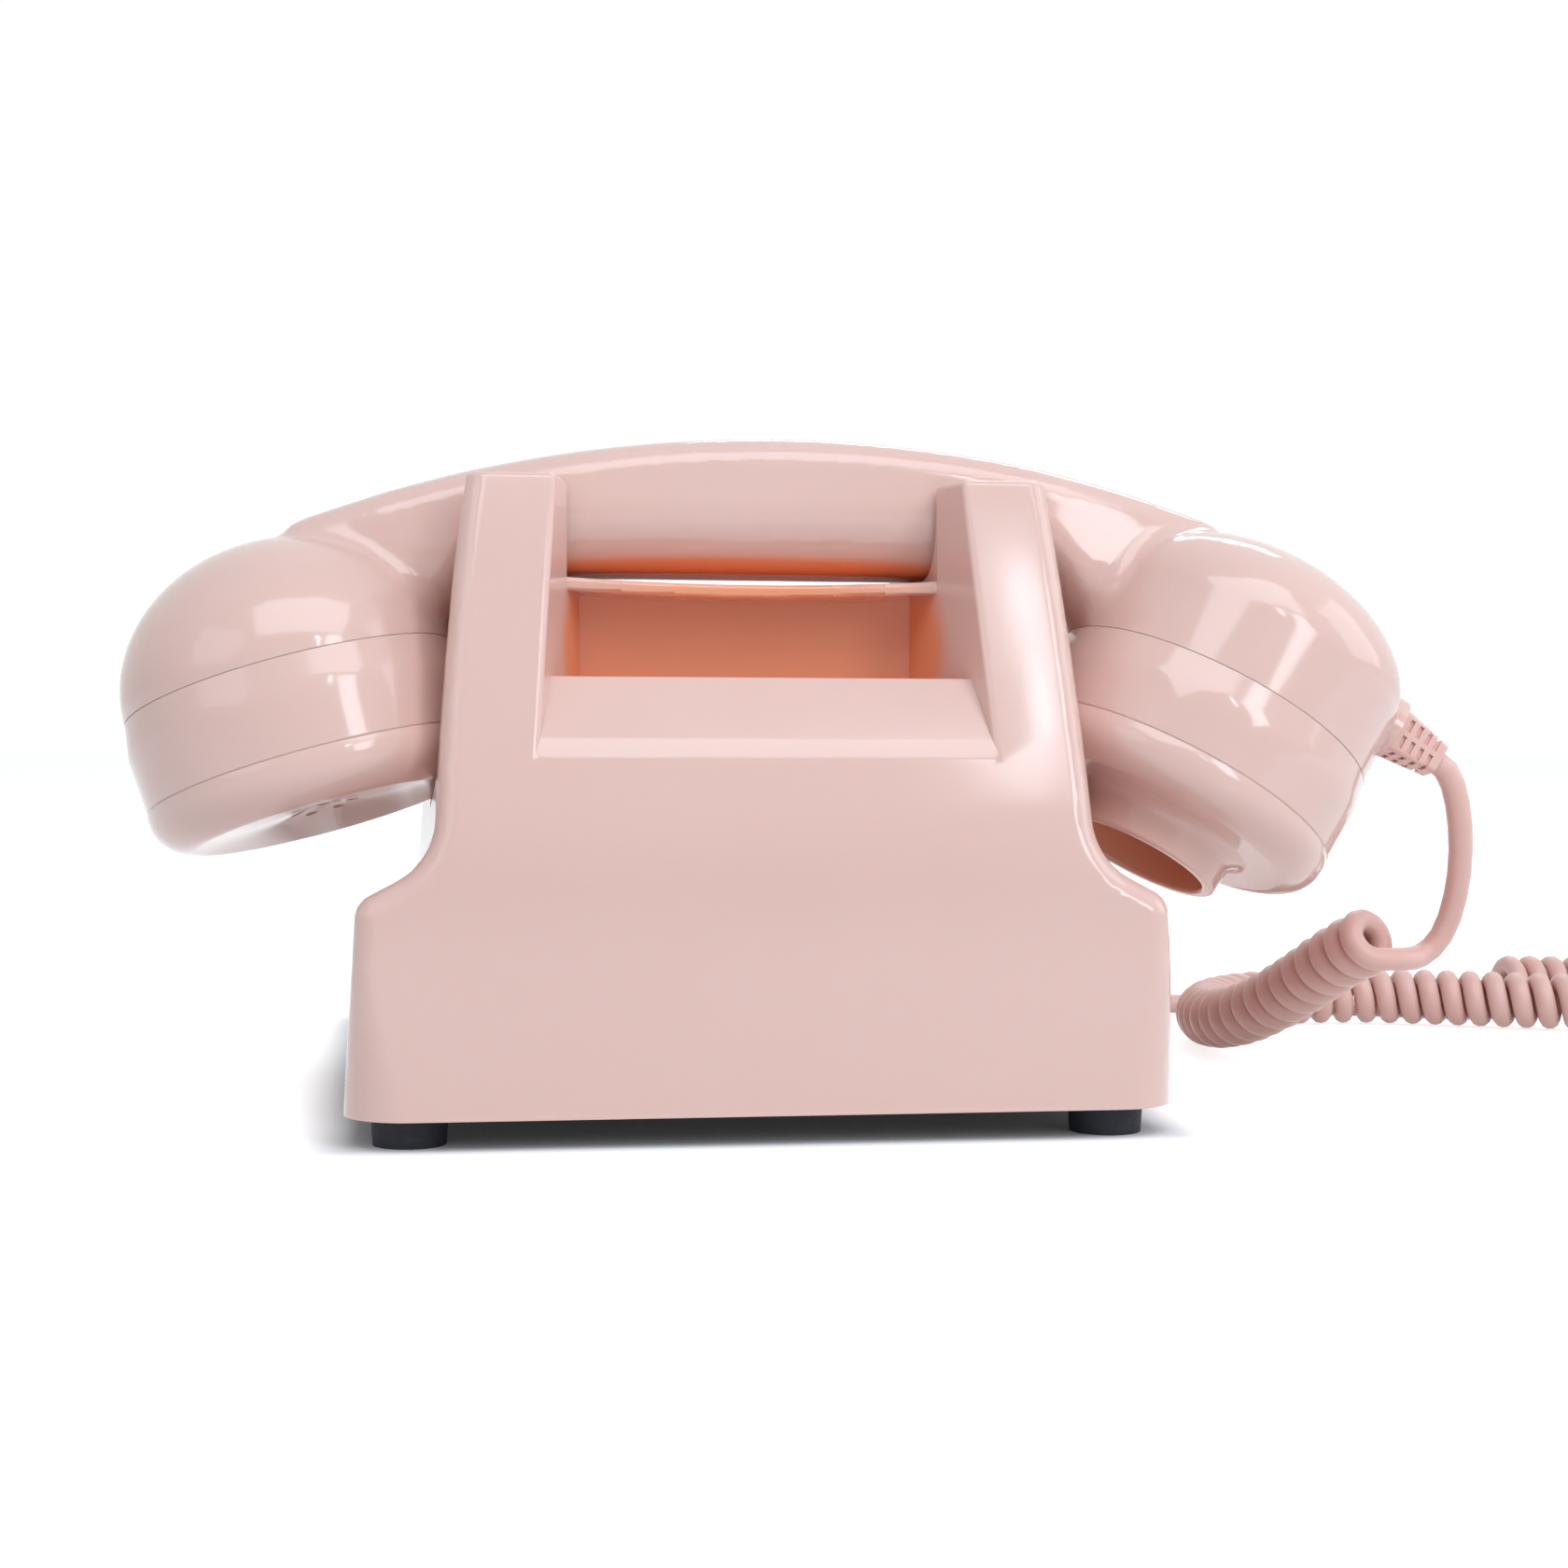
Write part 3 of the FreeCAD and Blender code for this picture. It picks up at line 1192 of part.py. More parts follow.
keep(turned("ear_ring", ring_corners("ear_radius", "ear_ring"), EAR), "ear_ring")
keep(turned("mouth_ring", ring_corners("mouth_radius", "mouth_ring"), MOUTH), "mouth_ring")


def hole_rings(rings, radius, top, bottom):
    """Round sound holes on circles."""
    holes = []
    for circle, count in rings:
        for number in range(count):
            angle = 2 * math.pi * number / count
            centre = Vector(circle * math.cos(angle), circle * math.sin(angle), bottom)
            holes.append(Part.makeCylinder(radius, top - bottom, centre))
    return holes


SOUND_HOLE = 1.1


def make_ear_cap():
    """Dished cap with sound holes."""
    face = -size("ear_face")
    top = -size("ear_ring")
    seam = size("seam")
    edge = size_of("ear_radius + ring_swell - ring_draft")
    inner = edge - size_of("bowl_wall + ring_swell - ring_draft")
    cap = spun((inner, top),
               [(edge - seam, top), (edge, top - seam), (edge - 1.3, face + 2.6, edge - 6.2, face),
                (0.6 * edge, face + 0.5, 0.0, face + 2.6), (0.0, face + 5.0),
                (0.5 * edge, face + 4.2, inner - 2.0, face + 3.0), (inner, face + 5.0), (inner, top)])
    return cap.cut(hole_rings(((0.0, 1), (5.0, 6)), SOUND_HOLE, top, face - 1.0))


def make_mouth_cap():
    """Cap with an open cup that stands out round the mouth holes."""
    face = -size("mouth_face")
    top = -size("mouth_ring")
    end = -size("cup_end")
    seam = size("seam")
    edge = size_of("mouth_radius + ring_swell - ring_draft")
    inner = edge - size_of("bowl_wall + ring_swell - ring_draft")
    cup = size("cup_radius")
    bore = size("cup_bore")
    floor = face + 3.0
    cap = spun((inner, top),
               [(edge - seam, top), (edge, top - seam), (edge - 1.5, face + 2.0, edge - 7.0, face),
                (cup + 3.0, face), (cup + 0.9, face - 0.9, cup, face - 3.0), (cup - 0.4, end + 0.7),
                (cup - 0.7, end + 0.2, cup - 1.2, end), (bore + 0.7, end),
                (bore + 0.2, end + 0.2, bore, end + 0.7),
                (bore - 0.4, floor), (0.0, floor), (0.0, floor + 2.4), (inner - 1.5, floor + 2.4),
                (inner, floor + 3.6), (inner, top)])
    return cap.cut(hole_rings(((0.0, 1), (5.0, 6), (9.6, 10)), SOUND_HOLE, top, face - 1.0))


solid_part("ear_cap", make_ear_cap(), EAR)
solid_part("mouth_cap", make_mouth_cap(), MOUTH)
keep(cylinder("receiver_capsule", "capsule_radius", "capsule_height",
              EAR.multiply(at(0, 0, -size_of("ear_face - 5.2")))), "receiver_capsule")
keep(cylinder("transmitter_capsule", "capsule_radius", "capsule_height",
              MOUTH.multiply(at(0, 0, -size_of("mouth_face - 5.6")))), "transmitter_capsule")
wires = tube(wire_arc(size_of("wire_bore - wire_radius - fit_gap"), size("wire_bore")), size("wire_radius"))
solid_part("handset_wires", wires, HANDSET)


def make_strain_relief():
    """Tapered square sleeve with rows of slots, and the cord's bore."""
    def square(width, height):
        half = width / 2
        corners = [Vector(-half, -half, height), Vector(half, -half, height),
                   Vector(half, half, height), Vector(-half, half, height)]
        return Part.makePolygon(corners + corners[:1])

    length = size("sleeve_length")
    sleeve = Part.makeLoft([square(size("sleeve_root"), 0.0), square(size("sleeve_tip"), length)], True, True)
    sleeve = fillet_where(sleeve, 0.9, lambda middle, edge: abs(middle.z - length / 2) < 0.1)
    slots = []
    slot_long = 2.5
    slot_wide = 0.9
    slot_deep = 0.7
    rows = 4
    for quarter in range(4):
        for side in (-1, 1):
            for row in range(rows):
                height = 1.5 + row * 2.1
                width = size("sleeve_root") + (size("sleeve_tip") - size("sleeve_root")) * height / length
                slot = Part.makeBox(slot_deep * 2, slot_long, slot_wide,
                                    Vector(width / 2 - slot_deep, side * 1.75 - slot_long / 2, height))
                slot.rotate(Vector(0, 0, 0), Vector(0, 0, 1), 90 * quarter)
                slots.append(slot)
    return sleeve.cut(slots)


solid_part("strain_relief", make_strain_relief(), SLEEVE)

# Cord: a straight lead from the handset, the curls, and a straight tail to its plug

CORD_RADIUS = size("cord_diameter") / 2


def rounded_route(points, name):
    """Straight runs joined by tangent arcs, each as large as its two runs allow."""
    edges = []
    radii = []
    here = points[0]
    for before, corner, after in zip(points, points[1:], points[2:]):
        into = (corner - before).normalize()
        out = (after - corner).normalize()
        turn = into.getAngle(out)
        reach = 0.45 * min(corner.distanceToPoint(before), after.distanceToPoint(corner))
        radii.append(reach / math.tan(turn / 2))
        start = corner - into * reach
        end = corner + out * reach
        middle_way = (out - into).normalize()
        sagitta = radii[-1] / math.cos(turn / 2) - radii[-1]
        edges.append(Part.LineSegment(here, start).toShape())
        edges.append(Part.Arc(start, corner + middle_way * sagitta, end).toShape())
        here = end
    edges.append(Part.LineSegment(here, points[-1]).toShape())
    print(name, "bend radii", [round(radius, 1) for radius in radii])
    return Part.Wire(edges)


def biarc(start, start_way, end, end_way):
    """Two arcs that join two points and keep both headings."""
    gap = end - start
    ways = start_way + end_way
    square = 2 * (1 - start_way.dot(end_way))
    if square < 1e-9:
        return [Part.LineSegment(start, end).toShape()]
    lean = gap.dot(ways)
    reach = (-lean + math.sqrt(lean * lean + square * gap.dot(gap))) / square
    first = start + start_way * reach
    second = end - end_way * reach
    joint = (first + second) * 0.5
    edges = []
    for near, corner, far in ((start, first, joint), (joint, second, end)):
        into = (corner - near).normalize()
        out = (far - corner).normalize()
        turn = into.getAngle(out)
        radius = reach / math.tan(turn / 2)
        sagitta = radius / math.cos(turn / 2) - radius
        edges.append(Part.Arc(near, corner + (out - into).normalize() * sagitta, far).toShape())
    return edges


def frames_along(path, side):
    """Close points along a wire, each with its distance, heading, bend and a side that doesn't twist."""
    step = 0.5
    points = path.discretize(Number=int(path.Length / step) + 1)
    frames = []
    for index, point in enumerate(points):
        before = points[max(0, index - 1)]
        after = points[min(len(points) - 1, index + 1)]
        heading = (after - before).normalize()
        side = (side - heading * side.dot(heading)).normalize()
        bend = heading.getAngle(frames[-1][1]) / step if frames else 0.0
        frames.append((point, heading, side, bend))
    return frames, path.Length / (len(points) - 1)


def helix_points(path, side, radius, wire, gap, end_phase):
    """Points and headings of a coil each half turn, its pitch opened on bends so that no two turns touch."""
    frames, step = frames_along(path, side)
    smooth = 12
    rates = []
    for index in range(len(frames)):
        near = frames[max(0, index - smooth):index + smooth + 1]
        bend = sum(frame[3] for frame in near) / len(near)
        climb = (wire + gap) / (2 * math.pi * radius)
        pitch = (wire + gap) * math.sqrt(1 + climb * climb) / (1 - radius * min(bend, 0.6 / radius))
        rates.append(2 * math.pi / pitch)
    phases = [0.0]
    for before, after in zip(rates, rates[1:]):
        phases.append(phases[-1] + (before + after) / 2 * step)
    whole = math.floor((phases[-1] - end_phase) / (2 * math.pi)) * 2 * math.pi + end_phase
    scale = whole / phases[-1]
    phases = [phase * scale for phase in phases]
    halves = int(round(phases[-1] / math.pi))

    def at_phase(phase):
        index = min(range(len(phases)), key=lambda place: abs(phases[place] - phase))
        index = min(max(index, 1), len(phases) - 1)
        if phases[index] < phase and index < len(phases) - 1:
            index += 1
        part = (phase - phases[index - 1]) / (phases[index] - phases[index - 1])
        point = frames[index - 1][0] * (1 - part) + frames[index][0] * part
        heading = (frames[index - 1][1] * (1 - part) + frames[index][1] * part).normalize()
        out = frames[index - 1][2] * (1 - part) + frames[index][2] * part
        out = (out - heading * out.dot(heading)).normalize()
        other = heading.cross(out)
        return point + out * (radius * math.cos(phase)) + other * (radius * math.sin(phase))

    places = []
    nudge = 0.02
    for number in range(halves + 1):
        phase = phases[-1] * number / halves
        place = at_phase(phase)
        way = (at_phase(phase + nudge) - at_phase(phase - nudge)).normalize()
        places.append((place, way))
    return places, phases[-1] / (2 * math.pi)


def coil_path(places, stub):
    """One wire through the coil's points, with a straight stub at each end."""
    edges = []
    if stub > 0:
        start, way = places[0]
        edges.append(Part.LineSegment(start - way * stub, start).toShape())
    for (here, way), (there, next_way) in zip(places, places[1:]):
        edges += biarc(here, way, there, next_way)
    if stub > 0:
        end, way = places[-1]
        edges.append(Part.LineSegment(end, end + way * stub).toShape())
    return Part.Wire(edges)


def least_gap(path, wire, turn_length, label):
    """Least gap of a coiled tube to its own other turns, measured on points."""
    step = 0.4
    points = path.discretize(Number=int(path.Length / step))
    skip = int(0.6 * turn_length / step)
    span = int(1.6 * turn_length / step)
    least = min(points[first].distanceToPoint(points[second])
                for first in range(0, len(points), 2)
                for second in range(first + skip, min(first + span, len(points))))
    print(label, "least gap between turns", round(least - wire, 2), "mm")


SLEEVE_TIP = SLEEVE.multVec(Vector(0, 0, size("sleeve_length")))
FLOOR_CURL = 6.85
CURL_ROUTE = [Vector(*point) for point in (
    (-123.2, 52.0, 30.2), (-120.2, 42.5, 26.2), (-116.8, 28.0, 18.6),
    (-113.2, 12.0, 11.6), (-111.4, -4.0, 8.0),
    (-112.6, -20.5, FLOOR_CURL), (-118.6, -36.0, FLOOR_CURL), (-129.8, -48.5, FLOOR_CURL),
    (-145.0, -55.8, FLOOR_CURL), (-162.0, -56.6, FLOOR_CURL), (-179.0, -50.4, FLOOR_CURL),
    (-196.0, -42.0, FLOOR_CURL), (-213.0, -35.6, FLOOR_CURL), (-230.0, -35.2, FLOOR_CURL),
    (-243.6, -43.6, FLOOR_CURL), (-248.0, -58.6, FLOOR_CURL), (-241.6, -73.0, FLOOR_CURL),
    (-227.0, -81.0, FLOOR_CURL), (-210.0, -82.4, FLOOR_CURL))]
CURL_SIDE = Vector(-0.6, 0.0, -0.8)
CURL_TURN = math.hypot(2 * math.pi * size("curl_radius"), size("cord_diameter"))
curl_axis = rounded_route(CURL_ROUTE, "curl axis")
last_frame = frames_along(curl_axis, CURL_SIDE)[0][-1]
down = Vector(0, 0, -1)
across_last = last_frame[1].cross(last_frame[2])
END_PHASE = math.atan2(down.dot(across_last), down.dot(last_frame[2])) % (2 * math.pi)
curl_places, curl_turns = helix_points(curl_axis, CURL_SIDE, size("curl_radius"), size("cord_diameter"),
                                       size("curl_gap"), END_PHASE)
curl_path = coil_path(curl_places, size("cord_diameter"))
print("curls", round(curl_turns, 1), "wire length", round(curl_path.Length), "mm")
least_gap(curl_path, size("cord_diameter"), CURL_TURN, "cord_curls")
solid_part("cord_curls", tube(curl_path, CORD_RADIUS))
LEAD_IN = curl_path.OrderedVertexes[0].Point
TAIL_OUT = curl_path.OrderedVertexes[-1].Point
lead_way = curl_places[0][1]
tail_way = curl_places[-1][1]
sleeve_way = HANDSET.Rotation.multVec(SLEEVE_AXIS)
LEAD_ROUTE = [SLEEVE_TIP, SLEEVE_TIP + sleeve_way * 2.6] + [Vector(*point) for point in (
    (-134.9, 60.5, 59.6), (-135.3, 59.8, 54.6), (-135.7, 57.2, 48.2),
    (-135.6, 54.0, 42.0), (-134.2, 50.9, 36.2))]
LEAD_ROUTE += [LEAD_IN - lead_way * 5.4, LEAD_IN]
TAIL_FLOOR = 2.45
TAIL_ROUTE = [TAIL_OUT, TAIL_OUT + tail_way * 4.0] + [Vector(*point) for point in (
    (-206.2, -68.0, TAIL_FLOOR), (-201.6, -62.6, TAIL_FLOOR), (-194.6, -60.2, TAIL_FLOOR),
    (-187.2, -61.4, TAIL_FLOOR), (-177.0, -66.4, TAIL_FLOOR), (-162.0, -72.6, TAIL_FLOOR),
    (-145.0, -77.4, TAIL_FLOOR), (-128.0, -79.0, TAIL_FLOOR),
    (-114.0, -77.0, 3.4), (-104.0, -74.4, 7.4), (-97.0, -72.6, 11.8), (-91.0, -72.0, PLUG_HEIGHT))]
TAIL_ROUTE.append(Vector(PLUG_END, -size("socket_along"), PLUG_HEIGHT))
for label, route in (("cord_lead", LEAD_ROUTE), ("cord_tail", TAIL_ROUTE)):
    path = rounded_route(route, label)
    solid_part(label, tube(path, CORD_RADIUS))
    expected = math.pi * CORD_RADIUS ** 2 * path.Length
    print(label, "length", round(path.Length), "volume ratio", round(NODES[-1].Shape.Volume / expected, 4))

# Hook spring, wound like the cord

spring_foot = Vector(size("spring_across"), size("hook_along"), size_of("spring_seat + spring_wire"))
spring_head = Vector(spring_foot.x, spring_foot.y, size_of("hook_bar_top - hook_bar_height - spring_wire"))
spring_axis = Part.Wire([Part.LineSegment(spring_foot, spring_head).toShape()])
SPRING_GAP = 1.9
spring_places, spring_turns = helix_points(spring_axis, Vector(1, 0, 0), size("spring_radius"),
                                           size("spring_wire"), SPRING_GAP, 0.0)
solid_part("hook_spring", tube(coil_path(spring_places, 0.0), size("spring_wire") / 2))

# Check every object, then write each sub-part

doc.recompute()
for item in doc.Objects:
    if "Invalid" in item.State or "Error" in item.State:
        raise RuntimeError("failed: " + item.Label)
for node in NODES:
    if node.Shape.isNull() or not node.Shape.isValid():
        raise RuntimeError("bad shape: " + node.Label)
os.makedirs("parts", exist_ok=True)
for node in NODES:
    node.Shape.exportStep("parts/" + node.Label + ".step")
print(len(NODES), "sub-parts written")
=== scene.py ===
# %% [markdown]
# # A pink desk telephone
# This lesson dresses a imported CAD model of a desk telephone. The frame brings in every rigid piece at
# its true place, in metres, with +Z up and +Y towards the back of the telephone. What is left to make
# here is the curly cord, the printed numbers, the finishes, the light and the camera.

# %% Load the frame
import json
import math
from collections import namedtuple

import bmesh
import bpy
from mathutils import Matrix, Vector

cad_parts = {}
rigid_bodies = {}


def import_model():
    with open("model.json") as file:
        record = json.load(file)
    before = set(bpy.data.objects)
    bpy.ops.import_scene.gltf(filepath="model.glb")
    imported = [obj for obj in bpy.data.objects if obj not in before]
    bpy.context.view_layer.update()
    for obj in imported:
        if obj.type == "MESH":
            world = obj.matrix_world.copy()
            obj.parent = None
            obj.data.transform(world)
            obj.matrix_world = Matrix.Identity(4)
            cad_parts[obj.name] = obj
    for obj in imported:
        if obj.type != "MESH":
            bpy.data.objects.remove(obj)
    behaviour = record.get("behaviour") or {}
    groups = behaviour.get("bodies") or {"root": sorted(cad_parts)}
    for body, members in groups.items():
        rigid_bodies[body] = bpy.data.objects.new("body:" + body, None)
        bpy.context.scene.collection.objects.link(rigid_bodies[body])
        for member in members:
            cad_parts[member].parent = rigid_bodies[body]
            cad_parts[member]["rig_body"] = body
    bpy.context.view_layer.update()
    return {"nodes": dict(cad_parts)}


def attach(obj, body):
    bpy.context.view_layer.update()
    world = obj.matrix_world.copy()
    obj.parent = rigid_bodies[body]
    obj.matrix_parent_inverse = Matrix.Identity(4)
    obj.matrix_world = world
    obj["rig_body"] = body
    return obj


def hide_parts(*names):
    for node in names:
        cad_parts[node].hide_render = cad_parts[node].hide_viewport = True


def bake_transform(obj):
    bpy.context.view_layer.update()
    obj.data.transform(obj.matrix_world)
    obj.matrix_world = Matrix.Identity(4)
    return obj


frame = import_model()
MM = 0.001
scene = bpy.context.scene
scene.view_settings.view_transform = "Standard"
print("frame nodes", len(frame["nodes"]))

# %% [markdown]
# ## Camera
# The photograph looks at the back of the telephone from just above the height of the shoulders. A pinhole
# camera is a place, three turns and a focal length. The turns are written as plain vectors, because
# the camera looks along its own -Z and that is easier to check than three Euler angles.

# %% Camera at the photograph's angle
CAMERA_PLACE = Vector((55.4, 498.1, 70.0)) * MM
CAMERA_YAW = math.radians(8.1)
CAMERA_PITCH = math.radians(1.3)
CAMERA_ROLL = math.radians(0.22)
FOCAL_PIXELS = 2600.0
PHOTO_PIXELS = 1680.0
SENSOR_MM = 36.0


def camera_turn(yaw, pitch, roll):
    """Rotation of a camera that faces -Y, turned by yaw, tipped down by pitch, then rolled."""
    up = Vector((0, 0, 1))
    ahead_level = Vector((-math.sin(yaw), -math.cos(yaw), 0))
    right_level = Vector((-math.cos(yaw), math.sin(yaw), 0))
    ahead = ahead_level * math.cos(pitch) - up * math.sin(pitch)
    top = up * math.cos(pitch) + ahead_level * math.sin(pitch)
    right = right_level * math.cos(roll) + top * math.sin(roll)
    top = top * math.cos(roll) - right_level * math.sin(roll)
    return Matrix((right, top, -ahead)).transposed().to_4x4()


camera = bpy.data.objects.new("camera", bpy.data.cameras.new("camera"))
camera.matrix_world = Matrix.Translation(CAMERA_PLACE) @ camera_turn(CAMERA_YAW, CAMERA_PITCH, CAMERA_ROLL)
camera.data.sensor_width = SENSOR_MM
camera.data.lens = SENSOR_MM * FOCAL_PIXELS / PHOTO_PIXELS
scene.collection.objects.link(camera)
scene.camera = camera
print("lens", round(camera.data.lens, 2), "mm")

# %% [markdown]
# ## Materials
# Every finish is a small node tree round one Principled shader. One function adds a node, sets it and
# links it, and one function turns the sRGB colours that people write into the linear colours that the
# shader needs. Patterns read Object coordinates, so they stay on the piece when it moves. Every tree
# ends alike, with a relief and the shader, so that end is a function too.

# %% Helpers for materials


def linear(code):
    """An sRGB hex colour such as DDB3AC as linear red, green, blue and alpha."""
    parts = [int(code[place:place + 2], 16) / 255 for place in (0, 2, 4)]
    return [part / 12.92 if part <= 0.04045 else ((part + 0.055) / 1.055) ** 2.4 for part in parts] + [1.0]


def add_node(tree, kind, settings=None, links=None, **attributes):
    """One node: its attributes, the values of its sockets, and the sockets that feed it."""
    node = tree.nodes.new(kind)
    for name, value in attributes.items():
        setattr(node, name, value)
    for socket, value in (settings or {}).items():
        node.inputs[socket].default_value = value
    for socket, source in (links or {}).items():
        tree.links.new(source, node.inputs[socket])
    return node


def new_material(name):
    """An empty material with its output node, and Object coordinates to draw patterns by."""
    material = bpy.data.materials.new(name)
    material.use_nodes = True
    tree = material.node_tree
    tree.nodes.clear()
    output = add_node(tree, "ShaderNodeOutputMaterial")
    place = add_node(tree, "ShaderNodeTexCoord").outputs["Object"]
    return material, tree, output, place


def close_surface(tree, output, colour, gloss, height, relief, shader_values):
    """The end of a finish: a relief of (strength, depth in millimetres), and the shader."""
    strength, depth = relief
    bump = add_node(tree, "ShaderNodeBump", {"Strength": strength, "Distance": depth * MM},
                    {"Height": height})
    shader = add_node(tree, "ShaderNodeBsdfPrincipled", shader_values,
                      {"Base Color": colour, "Roughness": gloss, "Normal": bump.outputs["Normal"]})
    tree.links.new(shader.outputs["BSDF"], output.inputs["Surface"])


def per_mm(size):
    """Noise scale that gives features of about this many millimetres."""
    return 1.0 / (size * MM)


# %% [markdown]
# The case and the handset are injection moulded ABS. Polished moulds leave a gloss with a very faint ripple,
# and years of hands leave the gloss a little uneven. The pink is milky: light goes a short way in, so edges
# stay soft. Deep in the grip pocket, under the handle and inside the mouth cup the pink looks salmon. Light
# that bounces about between pink walls gives some of it. The rest is painted shade: a salmon tone mixed into
# the colour, which fades in towards the middle of each hollow. Each such place is an ellipsoid in Object
# coordinates: a middle and three reaches, in millimetres.

# %% Hollows with painted shade
GRIP_POCKET = ((0.0, 62.0, 84.5), (52.0, 16.0, 17.5))
HANDLE_UNDERSIDE = ((0.0, 54.0, 97.2), (60.0, 22.0, 4.5))
MOUTH_CUP = ((-74.2, 62.85, 50.1), (15.3, 15.3, 15.3))
HOLLOW_EDGE = {"From Min": 0.72, "From Max": 1.1, "To Min": 1.0, "To Max": 0.0}


def painted_hollow_shade(tree, place, hollows):
    """How much painted shade: one deep in a hollow, falling to nothing at its mouth."""
    nearest = None
    for middle, reach in hollows:
        offset = add_node(tree, "ShaderNodeVectorMath", {1: Vector(middle) * MM}, {0: place},
                          operation="SUBTRACT")
        share = add_node(tree, "ShaderNodeVectorMath", {1: Vector(reach) * MM},
                         {0: offset.outputs["Vector"]}, operation="DIVIDE")
        away = add_node(tree, "ShaderNodeVectorMath", {}, {0: share.outputs["Vector"]}, operation="LENGTH")
        if nearest:
            away = add_node(tree, "ShaderNodeMath", {}, {0: nearest, 1: away.outputs["Value"]},
                            operation="MINIMUM")
        nearest = away.outputs["Value"]
    return add_node(tree, "ShaderNodeMapRange", HOLLOW_EDGE, {"Value": nearest},
                    interpolation_type="SMOOTHSTEP").outputs["Result"]


# %% Glossy pink ABS
ABS_MOTTLE = 60.0
ABS_SMEAR = 14.0
ABS_RIPPLE = 9.0
ABS_GLOSS = {"To Min": 0.07, "To Max": 0.15}
ABS_RELIEF = (0.04, 0.2)
ABS_SHADER = {"IOR": 1.53, "Subsurface Weight": 0.5, "Subsurface Radius": (1.0, 0.5, 0.4),
              "Subsurface Scale": 1.2 * MM}


def glossy_abs(name, colour, worn_colour, painted_shade_colour, hollows):
    """Moulded ABS: uneven gloss over a slightly mottled milky colour, with a salmon painted shade in its
    hollows.
    """
    material, tree, output, place = new_material(name)
    mottle = add_node(tree, "ShaderNodeTexNoise", {"Scale": per_mm(ABS_MOTTLE), "Detail": 3.0},
                      {"Vector": place})
    tint = add_node(tree, "ShaderNodeMix", {"A": linear(colour), "B": linear(worn_colour)},
                    {"Factor": mottle.outputs["Fac"]}, data_type="RGBA")
    # painted shade: a salmon tone mixed in deep in each hollow
    painted_shade_tint = add_node(tree, "ShaderNodeMix", {"B": linear(painted_shade_colour)},
                    {"Factor": painted_hollow_shade(tree, place, hollows), "A": tint.outputs["Result"]},
                    data_type="RGBA")
    smear = add_node(tree, "ShaderNodeTexNoise", {"Scale": per_mm(ABS_SMEAR), "Detail": 5.0},
                     {"Vector": place})
    gloss = add_node(tree, "ShaderNodeMapRange", ABS_GLOSS, {"Value": smear.outputs["Fac"]})
    ripple = add_node(tree, "ShaderNodeTexNoise", {"Scale": per_mm(ABS_RIPPLE), "Detail": 1.0},
                      {"Vector": place})
    close_surface(tree, output, painted_shade_tint.outputs["Result"], gloss.outputs["Result"], ripple.outputs["Fac"],
                  ABS_RELIEF, ABS_SHADER)
    return material


# the third pink is the painted shade of the hollows
PINKS = ("E3C0B6", "DFB9AF", "EC9A70")
case_abs = glossy_abs("pink_abs_case", *PINKS, [GRIP_POCKET])
handset_abs = glossy_abs("pink_abs_handset", *PINKS, [HANDLE_UNDERSIDE, MOUTH_CUP])
print("made", case_abs.name, handset_abs.name)

# %% [markdown]
# The cord and its strain relief are soft PVC. It comes out of the extruder satin, a little darker and
# redder than the ABS, with a fine grain.

# %% Satin pink PVC
PVC_GRAIN = 1.2
PVC_CLOUD = 18.0
PVC_GLOSS = {"To Min": 0.30, "To Max": 0.46}
PVC_RELIEF = (0.12, 0.1)
PVC_SHADER = {"IOR": 1.52, "Subsurface Weight": 0.3, "Subsurface Radius": (1.0, 0.35, 0.2),
              "Subsurface Scale": 2 * MM}


def satin_pvc(name, colour, painted_shade_colour):
    """Extruded PVC: satin, with a faint grain and slow clouds of a deeper pink."""
    material, tree, output, place = new_material(name)
    grain = add_node(tree, "ShaderNodeTexNoise", {"Scale": per_mm(PVC_GRAIN), "Detail": 4.0},
                     {"Vector": place})
    cloud = add_node(tree, "ShaderNodeTexNoise", {"Scale": per_mm(PVC_CLOUD), "Detail": 2.0},
                     {"Vector": place})
    tint = add_node(tree, "ShaderNodeMix", {"A": linear(colour), "B": linear(painted_shade_colour)},
                    {"Factor": cloud.outputs["Fac"]}, data_type="RGBA")
    gloss = add_node(tree, "ShaderNodeMapRange", PVC_GLOSS, {"Value": grain.outputs["Fac"]})
    close_surface(tree, output, tint.outputs["Result"], gloss.outputs["Result"], grain.outputs["Fac"],
                  PVC_RELIEF, PVC_SHADER)
    return material


pink_pvc = satin_pvc("pink_pvc_cord", "E3BAB0", "DDADA2")
print("made", pink_pvc.name)

# %% [markdown]
# The rest of the telephone is a handful of ordinary finishes. They share one recipe: two tones that drift
# into each other, a range of gloss, and a fine relief. What differs is the size of each pattern in
# millimetres, and a few numbers on the shader itself.

# %% Finishes for rubber, metal and plain plastic
FINISH_DEPTH = 0.15


def finish(name, tones, drift, gloss, relief, **shader_values):
    """Two tones that drift over some millimetres, a range of roughness, and a relief of (grain, strength)."""
    material, tree, output, place = new_material(name)
    grain_size, strength = relief
    cloud = add_node(tree, "ShaderNodeTexNoise", {"Scale": per_mm(drift), "Detail": 4.0}, {"Vector": place})
    tint = add_node(tree, "ShaderNodeMix", {"A": linear(tones[0]), "B": linear(tones[1])},
                    {"Factor": cloud.outputs["Fac"]}, data_type="RGBA")
    grain = add_node(tree, "ShaderNodeTexNoise", {"Scale": per_mm(grain_size), "Detail": 3.0},
                     {"Vector": place})
    rough = add_node(tree, "ShaderNodeMapRange", {"To Min": gloss[0], "To Max": gloss[1]},
                     {"Value": grain.outputs["Fac"]})
    close_surface(tree, output, tint.outputs["Result"], rough.outputs["Result"], grain.outputs["Fac"],
                  (strength, FINISH_DEPTH), shader_values)
    return material


